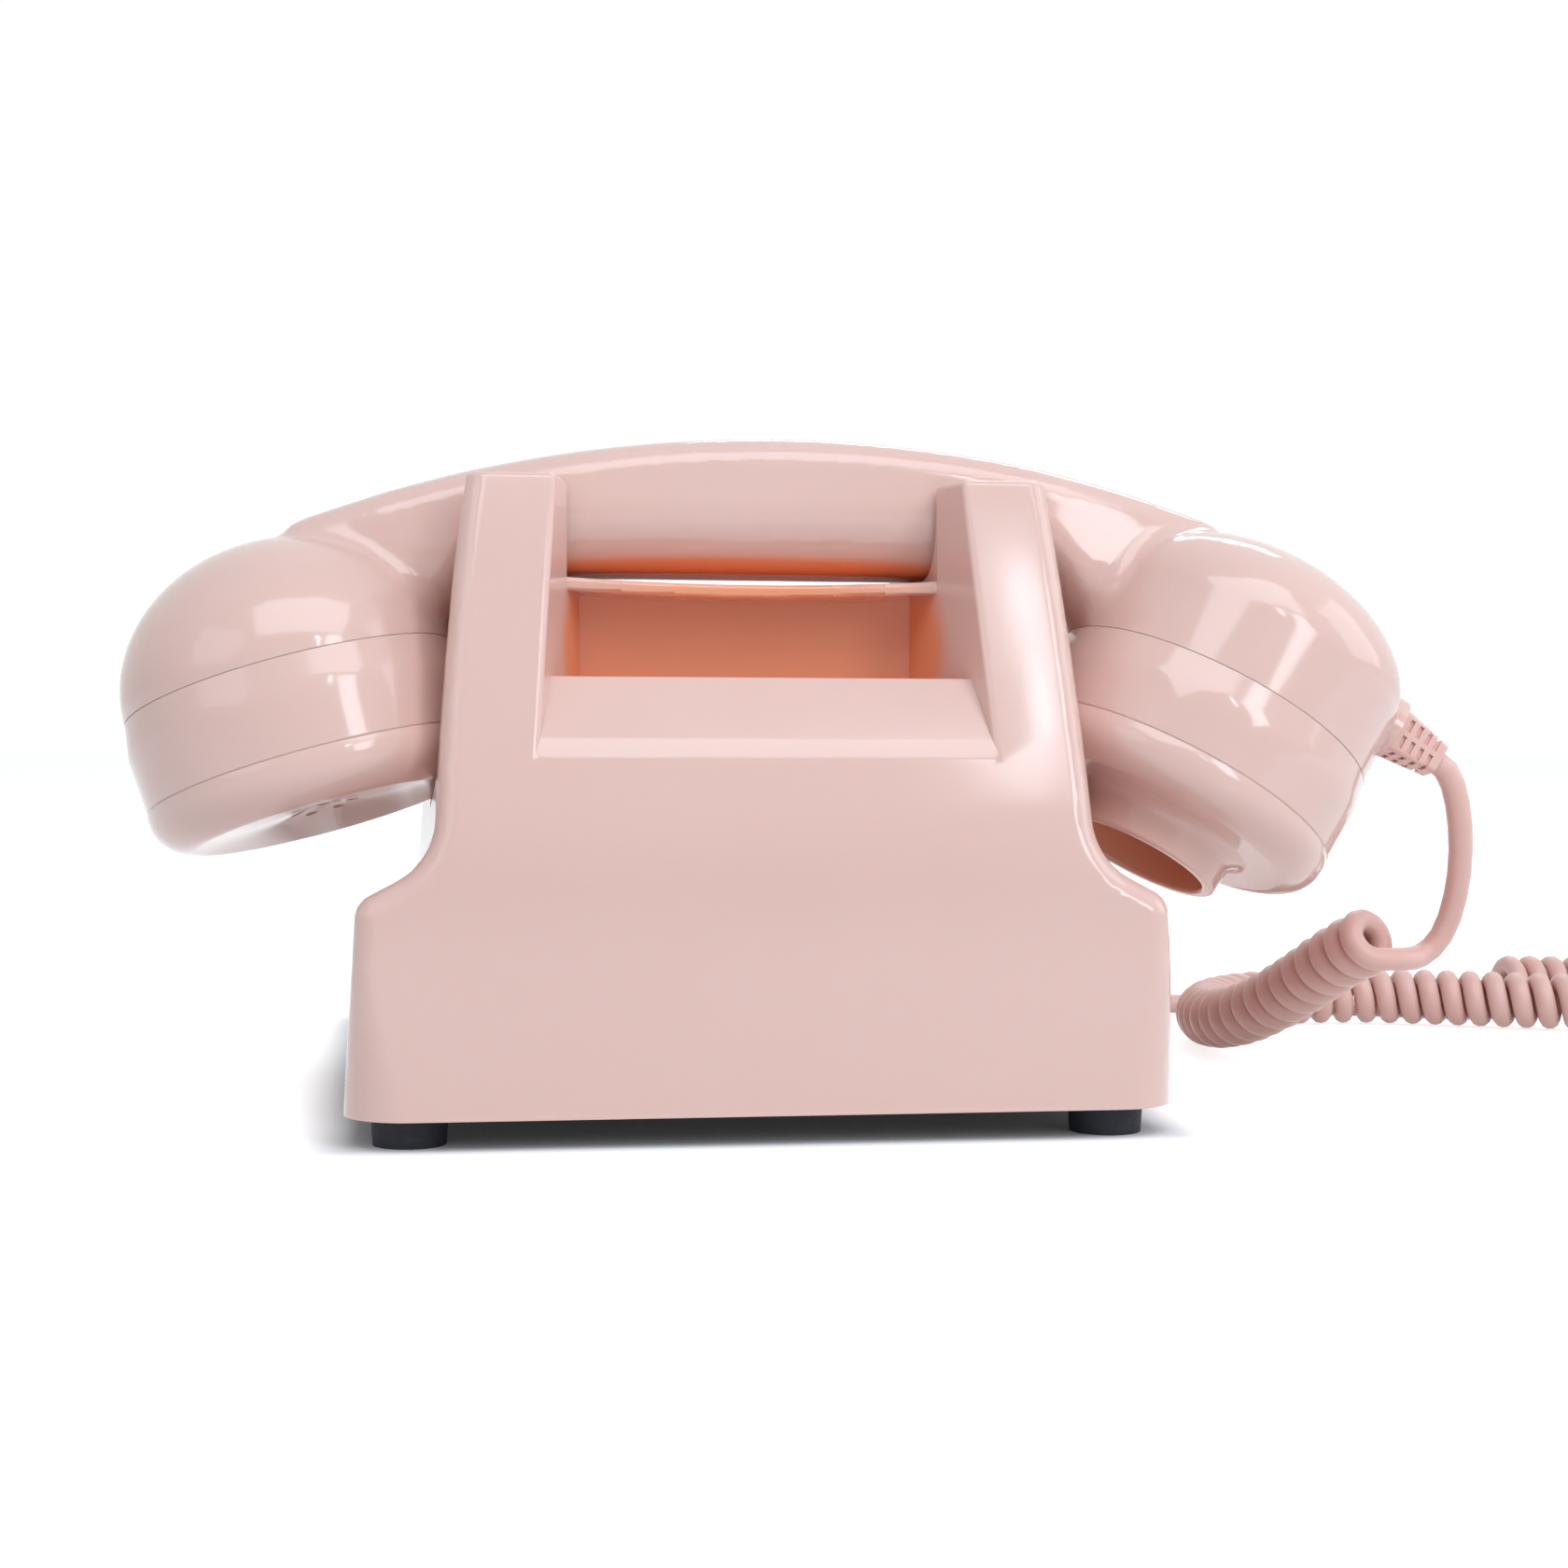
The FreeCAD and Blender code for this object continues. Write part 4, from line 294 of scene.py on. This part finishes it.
# moulded rubber: almost black with a blue cast, dusty and dull
rubber = finish("moulded_rubber", ("1B1D26", "2A2C36"), 5.0, (0.62, 0.85), (0.6, 0.35), IOR=1.5)
# zinc plate: grey, its gloss broken by handling
zinc = finish("zinc_plated_steel", ("A9ABAF", "8F9296"), 9.0, (0.22, 0.46), (0.8, 0.10), Metallic=1.0)
# chrome plate: bright, with faint polishing haze
chrome = finish("chrome_plate", ("C8CACF", "B6B9BF"), 20.0, (0.07, 0.18), (3.0, 0.03), Metallic=1.0)
# plain brass: warm, dulled in patches
brass = finish("plain_brass", ("C9A45C", "A47E3C"), 11.0, (0.20, 0.42), (1.2, 0.10), Metallic=1.0)
# ivory plastic: aged a little yellow, satin
ivory = finish("ivory_plastic", ("EFE9DA", "E6DDC8"), 16.0, (0.24, 0.36), (2.0, 0.04), IOR=1.5)
# dark plastic: charcoal with the spark-eroded grain of a tool
charcoal = finish("charcoal_plastic", ("26272A", "1D1E21"), 12.0, (0.42, 0.62), (0.5, 0.22), IOR=1.5)
# printing ink: soft black, thin enough to follow the plastic
ink = finish("printing_ink", ("1A1A1C", "242427"), 4.0, (0.45, 0.6), (0.4, 0.08), IOR=1.5)
# clear plug: water-clear plastic with moulding haze
clear = finish("clear_plastic", ("EEF0F2", "E6E9EC"), 7.0, (0.05, 0.16), (2.5, 0.05), IOR=1.49,
               **{"Transmission Weight": 0.85})
print("finishes", [item.name for item in (rubber, zinc, chrome, brass, ivory, charcoal, ink, clear)])

# %% [markdown]
# Two finishes have a direction. The circuit board is woven glass in green resin, and the coil is wound
# from thin enamelled wire, so both get bands instead of clouds. The bands are drawn coarser than the real
# weave and wire, about 5 mm on the board and 2.5 mm on the coil, so that they show.

# %% Woven board and wound copper
WAVE_TURN = 20.0
BAND_DEPTH = 0.1


def banded(name, tones, radian, direction, gloss, strength, **shader_values):
    """Two tones in bands across one direction: a sine wave that turns one radian in so many millimetres."""
    material, tree, output, place = new_material(name)
    bands = add_node(tree, "ShaderNodeTexWave",
                     {"Scale": per_mm(radian) / WAVE_TURN, "Distortion": 0.6, "Detail": 2.0},
                     {"Vector": place}, bands_direction=direction)
    tint = add_node(tree, "ShaderNodeMix", {"A": linear(tones[0]), "B": linear(tones[1])},
                    {"Factor": bands.outputs["Fac"]}, data_type="RGBA")
    rough = add_node(tree, "ShaderNodeMapRange", {"To Min": gloss[0], "To Max": gloss[1]},
                     {"Value": bands.outputs["Fac"]})
    close_surface(tree, output, tint.outputs["Result"], rough.outputs["Result"], bands.outputs["Fac"],
                  (strength, BAND_DEPTH), shader_values)
    return material


board = banded("woven_glass_board", ("1E5A34", "2B7044"), 0.8, "DIAGONAL", (0.30, 0.45), 0.15, IOR=1.5)
copper = banded("enamelled_copper", ("B5673D", "7E3F22"), 0.4, "X", (0.22, 0.40), 0.5, Metallic=0.9)
print("made", board.name, copper.name)

# %% [markdown]
# ## The curly cord
# A curly cord is one length of PVC wound on a rod and set with heat. It leaves the strain relief
# straight, hangs, curls down to the desk and wanders off, and a straight tail comes back to the plug.
# The middle of the curls is a NURBS line whose control points are listed. The curls are wound round that
# line, and the whole cord is then one NURBS line again, given a round bevel.

# %% Route of the cord, in millimetres
SLEEVE_TIP = (-131.35, 60.74, 64.38)
LEAD = ((-133.8, 60.7, 63.2), (-136.7, 59.2, 56.4), (-138.8, 56.2, 47.4), (-139.4, 52.6, 38.0),
        (-137.8, 49.8, 29.8), (-133.6, 49.2, 26.0))
ON_DESK = 6.85
CURL_ROUTE = ((-123.2, 52.0, 30.2), (-120.2, 42.5, 26.2), (-116.8, 28.0, 18.6), (-113.2, 12.0, 11.6),
              (-111.4, -4.0, 8.0), (-112.6, -20.5, ON_DESK), (-118.6, -36.0, ON_DESK),
              (-129.8, -48.5, ON_DESK), (-145.0, -55.8, ON_DESK), (-162.0, -56.6, ON_DESK),
              (-179.0, -50.4, ON_DESK), (-196.0, -42.0, ON_DESK), (-213.0, -35.6, ON_DESK),
              (-230.0, -35.2, ON_DESK), (-243.6, -43.6, ON_DESK), (-248.0, -58.6, ON_DESK),
              (-241.6, -73.0, ON_DESK), (-227.0, -81.0, ON_DESK), (-210.0, -82.4, ON_DESK))
TAIL_LOW = 2.45
TAIL = ((-206.2, -68.0, TAIL_LOW), (-201.6, -62.6, TAIL_LOW), (-194.6, -60.2, TAIL_LOW),
        (-187.2, -61.4, TAIL_LOW), (-177.0, -66.4, TAIL_LOW), (-162.0, -72.6, TAIL_LOW),
        (-145.0, -77.4, TAIL_LOW), (-128.0, -79.0, TAIL_LOW), (-114.0, -77.0, 3.4),
        (-104.0, -74.4, 7.4), (-97.0, -72.6, 11.8), (-91.4, -72.0, 14.4), (-84.9, -72.0, 14.4))
ROUTE_STEPS = 40


def nurbs_line(name, points, steps):
    """A smooth NURBS curve with these points, in millimetres, as its control points."""
    data = bpy.data.curves.new(name, "CURVE")
    data.dimensions = "3D"
    data.resolution_u = steps
    spline = data.splines.new("NURBS")
    spline.points.add(len(points) - 1)
    for control, point in zip(spline.points, points):
        control.co = (*(Vector(point) * MM), 1.0)
    spline.order_u = 3
    spline.use_endpoint_u = True
    return data


def mesh_from(data):
    """The mesh that Blender makes of a curve."""
    holder = bpy.data.objects.new(data.name, data)
    scene.collection.objects.link(holder)
    depsgraph = bpy.context.evaluated_depsgraph_get()
    mesh = bpy.data.meshes.new_from_object(holder.evaluated_get(depsgraph))
    bpy.data.objects.remove(holder)
    return mesh


def points_on(data):
    """Points along a curve that has no bevel, in millimetres."""
    return [vertex.co / MM for vertex in mesh_from(data).vertices]


curl_line = points_on(nurbs_line("curl_line", CURL_ROUTE, ROUTE_STEPS))
print("curl line", len(curl_line), "points")

# %% [markdown]
# Winding needs a heading and a side at every point of the line. The side is carried along from point to
# point, so the curls don't twist where the line turns. On a bend the inner sides of the curls come
# closer, so the pitch opens there. A NURBS line runs a little inside its control points, so the
# radius and the pitch get a percent or so more.

# %% Stations along the middle of the curls
Station = namedtuple("Station", "point heading side bend step")
CORD_DIAMETER = 4.6
CURL_RADIUS = 4.3
CURL_GAP = 0.36
CURL_SIDE = Vector((-0.1, 0.0, -1.0))
BEND_SPAN = 12
PITCH_ROOM = 1.015
RADIUS_ROOM = 1.012


def stations_on(line, side):
    """A station at each point of a line, with its heading, its side, its bend and the step before it."""
    stations = []
    for index, point in enumerate(line):
        heading = (line[min(index + 1, len(line) - 1)] - line[max(index - 1, 0)]).normalized()
        side = (side - heading * side.dot(heading)).normalized()
        step = (point - line[index - 1]).length if index else 0.0
        bend = heading.angle(stations[-1].heading, 0.0) / step if step > 0 else 0.0
        stations.append(Station(point, heading, side, bend, step))
    return stations


def phases_at(stations):
    """How far the cord has turned round the line at each station, in radians."""
    phases = [0.0]
    for index in range(1, len(stations)):
        near = stations[max(0, index - BEND_SPAN):index + BEND_SPAN + 1]
        bend = sum(station.bend for station in near) / len(near)
        pitch = (CORD_DIAMETER + CURL_GAP) * PITCH_ROOM / (1 - CURL_RADIUS * bend)
        phases.append(phases[-1] + stations[index].step * math.tau / pitch)
    return phases


stations = stations_on(curl_line, CURL_SIDE.copy())
phases = phases_at(stations)
print("turns before trimming", round(phases[-1] / math.tau, 2))

# %% Wind the curls round the line
CURL_STEPS = 16
LEAD_REACH = 5.0
TAIL_REACHES = (4.6, 8.6)


def lowest_phase(station):
    """The phase at which the cord is under the line."""
    down = Vector((0, 0, -1))
    other = station.heading.cross(station.side)
    return math.atan2(down.dot(other), down.dot(station.side)) % math.tau


def curl_points(stations, phases):
    """Points of the cord's middle round the line, and its turns. The last turn ends under the line."""
    end = lowest_phase(stations[-1])
    whole = math.floor((phases[-1] - end) / math.tau) * math.tau + end
    phases = [phase * whole / phases[-1] for phase in phases]
    count = int(whole / math.tau * CURL_STEPS)
    points = []
    index = 1
    for number in range(count + 1):
        phase = whole * number / count
        while phases[index] < phase and index < len(phases) - 1:
            index += 1
        before = stations[index - 1]
        after = stations[index]
        part = (phase - phases[index - 1]) / (phases[index] - phases[index - 1])
        middle = before.point.lerp(after.point, part)
        heading = before.heading.lerp(after.heading, part).normalized()
        side = before.side.lerp(after.side, part).normalized()
        outward = side * math.cos(phase) + heading.cross(side) * math.sin(phase)
        points.append(middle + outward * CURL_RADIUS * RADIUS_ROOM)
    return points, whole / math.tau


curls, turns = curl_points(stations, phases)
first_way = (curls[1] - curls[0]).normalized()
last_way = ((curls[-1] - curls[-2]) * Vector((1, 1, 0))).normalized()
lead_in = curls[0] - first_way * LEAD_REACH
tail_out = [curls[-1] + last_way * reach for reach in TAIL_REACHES]
cord_points = [SLEEVE_TIP, *LEAD, lead_in, *curls, *tail_out, *TAIL]
print("curls", round(turns, 1), "control points", len(cord_points))

# %% [markdown]
# The cord is one mesh, made from its line with a round bevel, and the CAD cord pieces are hidden. Its middle
# is also kept as points at least 0.2 mm apart.

# %% Make the cord
CORD_STEPS = 2
LEAST_STEP = 0.2
BEVEL_STEPS = 4
cord_line = nurbs_line("cord_line", cord_points, CORD_STEPS)
cord_path = []
for point in points_on(cord_line):
    if not cord_path or (point * MM - cord_path[-1]).length > LEAST_STEP * MM:
        cord_path.append(point * MM)
cord_line.bevel_depth = CORD_DIAMETER / 2 * MM
cord_line.bevel_resolution = BEVEL_STEPS
cord_line.use_fill_caps = True
cord = bpy.data.objects.new("curly_cord", mesh_from(cord_line))
for polygon in cord.data.polygons:
    polygon.use_smooth = True
cord.data.materials.clear()
cord.data.materials.append(pink_pvc)
scene.collection.objects.link(cord)
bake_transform(cord)
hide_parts("cord_lead", "cord_curls", "cord_tail")

# %% [markdown]
# ## Smooth skins
# A CAD node arrives as loose flat triangles. Glossy plastic shows every one of them, so the outside
# pieces are shown through a merged copy with smooth normals that keeps the sharp edges.

# %% Smooth copies of the outside pieces
MERGE_WITHIN = 0.002
SHARP_FROM = math.radians(32)


def smooth_copy(node, material):
    """A merged, smoothly shaded copy that stands for a CAD node."""
    source = frame["nodes"][node]
    mesh = source.data.copy()
    work = bmesh.new()
    work.from_mesh(mesh)
    bmesh.ops.remove_doubles(work, verts=work.verts, dist=MERGE_WITHIN * MM)
    for face in work.faces:
        face.smooth = True
    for edge in work.edges:
        edge.smooth = len(edge.link_faces) == 2 and edge.calc_face_angle(0.0) < SHARP_FROM
    work.to_mesh(mesh)
    work.free()
    if "custom_normal" in mesh.attributes:
        mesh.attributes.remove(mesh.attributes["custom_normal"])
    mesh.materials.clear()
    mesh.materials.append(material)
    piece = bpy.data.objects.new(node + "_skin", mesh)
    scene.collection.objects.link(piece)
    evened = piece.modifiers.new("evened", "WEIGHTED_NORMAL")
    evened.keep_sharp = True
    evened.mode = "FACE_AREA_WITH_ANGLE"
    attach(piece, source["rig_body"])
    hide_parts(node)
    return piece


SKINS = (("pink_abs", case_abs, ("case_shell", "dial_housing", "hook_plungers")),
         ("pink_abs", handset_abs, ("handset_body", "ear_ring", "mouth_ring", "ear_cap", "mouth_cap")),
         ("pink_cord", pink_pvc, ("strain_relief",)),
         ("black_rubber", rubber, ("rubber_feet",)),
         ("steel", zinc, ("base_screws",)),
         ("chrome", chrome, ("finger_wheel", "finger_stop")),
         ("ivory", ivory, ("number_plate", "dial_hub_cap")),
         ("dark_plastic", charcoal, ("base_plate", "line_socket", "handset_socket")))
for slot, material, nodes in SKINS:
    for node in nodes:
        smooth_copy(node, material)
print("smooth skins", sum(len(nodes) for slot, material, nodes in SKINS))

# %% [markdown]
# The pieces inside the case and the handset are seen only when these are opened, so their CAD nodes stay
# as they are and take a finish. The plug of the cord is a small clear block, and does the same.

# %% Finishes for the inside and the plug
INSIDE = ((charcoal, ("board_components", "hook_bushes", "spring_post", "receiver_capsule",
                      "transmitter_capsule")),
          (zinc, ("ringer_bracket", "gong_posts", "gong_screws", "clapper_pin", "clapper", "hook_bar",
                  "hook_spring", "dial_shaft", "governor_cup", "dial_spring")),
          (brass, ("board_standoffs", "left_gong", "right_gong", "dial_gear", "governor")),
          (board, ("circuit_board",)),
          (copper, ("ringer_coil",)),
          (pink_pvc, ("handset_wires",)),
          (clear, ("cord_plug",)))
for material, nodes in INSIDE:
    for node in nodes:
        for place in frame["nodes"][node].material_slots:
            place.material = material
print("finished inside", sum(len(nodes) for material, nodes in INSIDE))

# %% [markdown]
# ## Numbers on the dial
# The photograph shows only the back, so the dial is the usual one: ten finger holes, with one number
# under each, from 1 at the upper right round to 0. Each number starts as text, is made into a mesh, and
# only then goes to its place on the sloping plate.

# %% Printed numbers
SLOPE = math.radians(30)
FRONT_HEIGHT = 31.0
HALF_DEPTH = 98.0
FRONT_LEAN = 2.0
DIAL_FORWARD = 42.3
DIAL_HEIGHT = FRONT_HEIGHT + (HALF_DEPTH - DIAL_FORWARD - FRONT_LEAN) * math.tan(SLOPE)
DIAL_CENTRE = Vector((0.0, -DIAL_FORWARD, DIAL_HEIGHT)) * MM
DIAL_PLACE = Matrix.Translation(DIAL_CENTRE) @ Matrix.Rotation(SLOPE, 4, "X")
HOLE_CIRCLE = 26.0
FIRST_HOLE_DEGREES = 55.0
HOLE_STEP_DEGREES = 28.0
PLATE_FACE = -2.8
NUMBER_HEIGHT = 5.6
INK_HALF = 0.04
INK_LIFT = 0.05


def number_mesh(sign):
    """One printed sign as a thin mesh round its own middle."""
    text = bpy.data.curves.new("sign_" + sign, "FONT")
    text.body = sign
    text.size = NUMBER_HEIGHT * MM
    text.extrude = INK_HALF * MM
    text.align_x = "CENTER"
    text.align_y = "CENTER"
    return mesh_from(text)


print_shape = bmesh.new()
for number, sign in enumerate("1234567890"):
    angle = math.radians(FIRST_HOLE_DEGREES + number * HOLE_STEP_DEGREES)
    across = HOLE_CIRCLE * math.cos(angle)
    along = HOLE_CIRCLE * math.sin(angle)
    spot = Vector((across, along, PLATE_FACE + INK_LIFT)) * MM
    mesh = number_mesh(sign)
    mesh.transform(DIAL_PLACE @ Matrix.Translation(spot))
    print_shape.from_mesh(mesh)
numbers_mesh = bpy.data.meshes.new("dial_numbers")
print_shape.to_mesh(numbers_mesh)
print_shape.free()
numbers_mesh.materials.append(ink)
numbers = bpy.data.objects.new("dial_numbers", numbers_mesh)
scene.collection.objects.link(numbers)
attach(numbers, "base")
print("number print", len(numbers_mesh.polygons), "faces")

# %% [markdown]
# ## Floor
# The telephone stands on a white sweep. Under it the floor is plain paper that keeps the shadow, lightened a
# little by a faint glow for rays from the camera, mirrors and glass. Outside the footprint that glow grows,
# so that the page fades to white within a centimetre or two. The glow stops short of white, so a cord still
# has a soft shadow.

# %% White floor
FOOTPRINT_HALF = (69.0, 91.0, 1.0)
FADE = 15.0
# To Min is painted light: a faint glow under the telephone that lightens its shadow
GLOW = {"From Max": FADE * MM, "To Min": 0.018, "To Max": 0.72}
PAPER_GREY = (0.8, 0.8, 0.8, 1.0)
WHITE = (1.0, 1.0, 1.0, 1.0)
FLOOR_REACH = 6.0


def seen_directly(tree):
    """One for rays from the camera, a mirror or glass, and nothing for light that bounces about."""
    path = add_node(tree, "ShaderNodeLightPath")
    mirror = add_node(tree, "ShaderNodeMath", {},
                      {0: path.outputs["Is Camera Ray"], 1: path.outputs["Is Glossy Ray"]},
                      operation="MAXIMUM")
    glass = add_node(tree, "ShaderNodeMath", {},
                     {0: mirror.outputs["Value"], 1: path.outputs["Is Transmission Ray"]},
                     operation="MAXIMUM")
    return glass.outputs["Value"]


def white_paper(name):
    """Paper that keeps the shadow under the telephone, lightened there by a faint glow, and glows more
    outside its footprint.
    """
    material, tree, output, place = new_material(name)
    bare = add_node(tree, "ShaderNodeVectorMath", {}, {0: place}, operation="ABSOLUTE")
    past = add_node(tree, "ShaderNodeVectorMath", {1: Vector(FOOTPRINT_HALF) * MM},
                    {0: bare.outputs["Vector"]}, operation="SUBTRACT")
    outside = add_node(tree, "ShaderNodeVectorMath", {1: (0.0, 0.0, 0.0)}, {0: past.outputs["Vector"]},
                       operation="MAXIMUM")
    away = add_node(tree, "ShaderNodeVectorMath", {}, {0: outside.outputs["Vector"]}, operation="LENGTH")
    glow = add_node(tree, "ShaderNodeMapRange", GLOW, {"Value": away.outputs["Value"]},
                    interpolation_type="SMOOTHSTEP")
    strength = add_node(tree, "ShaderNodeMath", {}, {0: seen_directly(tree), 1: glow.outputs["Result"]},
                        operation="MULTIPLY")
    paper = add_node(tree, "ShaderNodeBsdfDiffuse", {"Color": PAPER_GREY})
    light = add_node(tree, "ShaderNodeEmission", {"Color": WHITE}, {"Strength": strength.outputs["Value"]})
    both = add_node(tree, "ShaderNodeAddShader", {}, {0: paper.outputs["BSDF"], 1: light.outputs["Emission"]})
    tree.links.new(both.outputs["Shader"], output.inputs["Surface"])
    return material


floor_shape = bmesh.new()
bmesh.ops.create_grid(floor_shape, x_segments=1, y_segments=1, size=FLOOR_REACH)
floor_mesh = bpy.data.meshes.new("floor")
floor_shape.to_mesh(floor_mesh)
floor_shape.free()
floor = bpy.data.objects.new("floor", floor_mesh)
floor.data.materials.append(white_paper("white_paper"))
scene.collection.objects.link(floor)
print("floor", floor.name)

# %% [markdown]
# ## Light
# The room is white to look at, but lights the telephone at about a third of that, a little cool.
# Rectangular lamps do the rest, as softboxes and windows do in a studio. The large cloth stands high and
# towards the camera, so that the slope under the grip pocket is hardly brighter than the wall below it.
# The narrow strip beside it is there for its reflection, the white streak on the right horn.

# %% White room
COOL_WHITE = (0.92, 1.0, 1.07)
ROOM_LEVEL = {"To Min": 0.352, "To Max": 1.0}
world = bpy.data.worlds.new("white_room")
world.use_nodes = True
scene.world = world
room = world.node_tree
room.nodes.clear()
room_out = add_node(room, "ShaderNodeOutputWorld")
room_seen = seen_directly(room)
room_level = add_node(room, "ShaderNodeMapRange", ROOM_LEVEL, {"Value": room_seen})
room_tone = add_node(room, "ShaderNodeMix", {"A": (*COOL_WHITE, 1.0), "B": WHITE}, {"Factor": room_seen},
                     data_type="RGBA")
room_light = add_node(room, "ShaderNodeBackground", {},
                      {"Color": room_tone.outputs["Result"], "Strength": room_level.outputs["Result"]})
room.links.new(room_light.outputs["Background"], room_out.inputs["Surface"])
print("room", world.name)

# %% Softboxes: name, place, target and size in metres, power in watts
TELEPHONE = (0.0, 0.05, 0.06)
RIGHT_HORN = (-0.044, 0.09, 0.075)
LAMPS = (("right_strip", (-0.55, 0.96, 0.50), TELEPHONE, (0.24, 0.42), 2.0),
         ("right_window", (-1.30, 0.20, 0.60), TELEPHONE, (0.9, 0.9), 3.9),
         ("left_window", (0.95, 0.75, 0.60), TELEPHONE, (0.7, 0.6), 1.4),
         ("top_cloth", (-0.1, 0.75, 1.05), TELEPHONE, (1.3, 0.7), 8.7),
         ("near_strip", (-0.256, 0.833, 0.54), RIGHT_HORN, (0.03, 0.13), 0.18),
         ("far_strip", (-0.35, -0.75, 0.80), TELEPHONE, (0.6, 0.12), 1.5))


def softbox(name, place, target, size, power):
    """A rectangular lamp that faces a point."""
    lamp = bpy.data.lights.new(name, "AREA")
    lamp.color = COOL_WHITE
    lamp.shape = "RECTANGLE"
    lamp.size, lamp.size_y = size
    lamp.energy = power
    holder = bpy.data.objects.new(name, lamp)
    way = Vector(target) - Vector(place)
    holder.matrix_world = Matrix.Translation(place) @ way.to_track_quat("-Z", "Y").to_matrix().to_4x4()
    scene.collection.objects.link(holder)


for name, place, target, size, power in LAMPS:
    softbox(name, place, target, size, power)
print("lamps", len(LAMPS))

# %% [markdown]
# ## The end

# %% End of the scene
print("scene built")
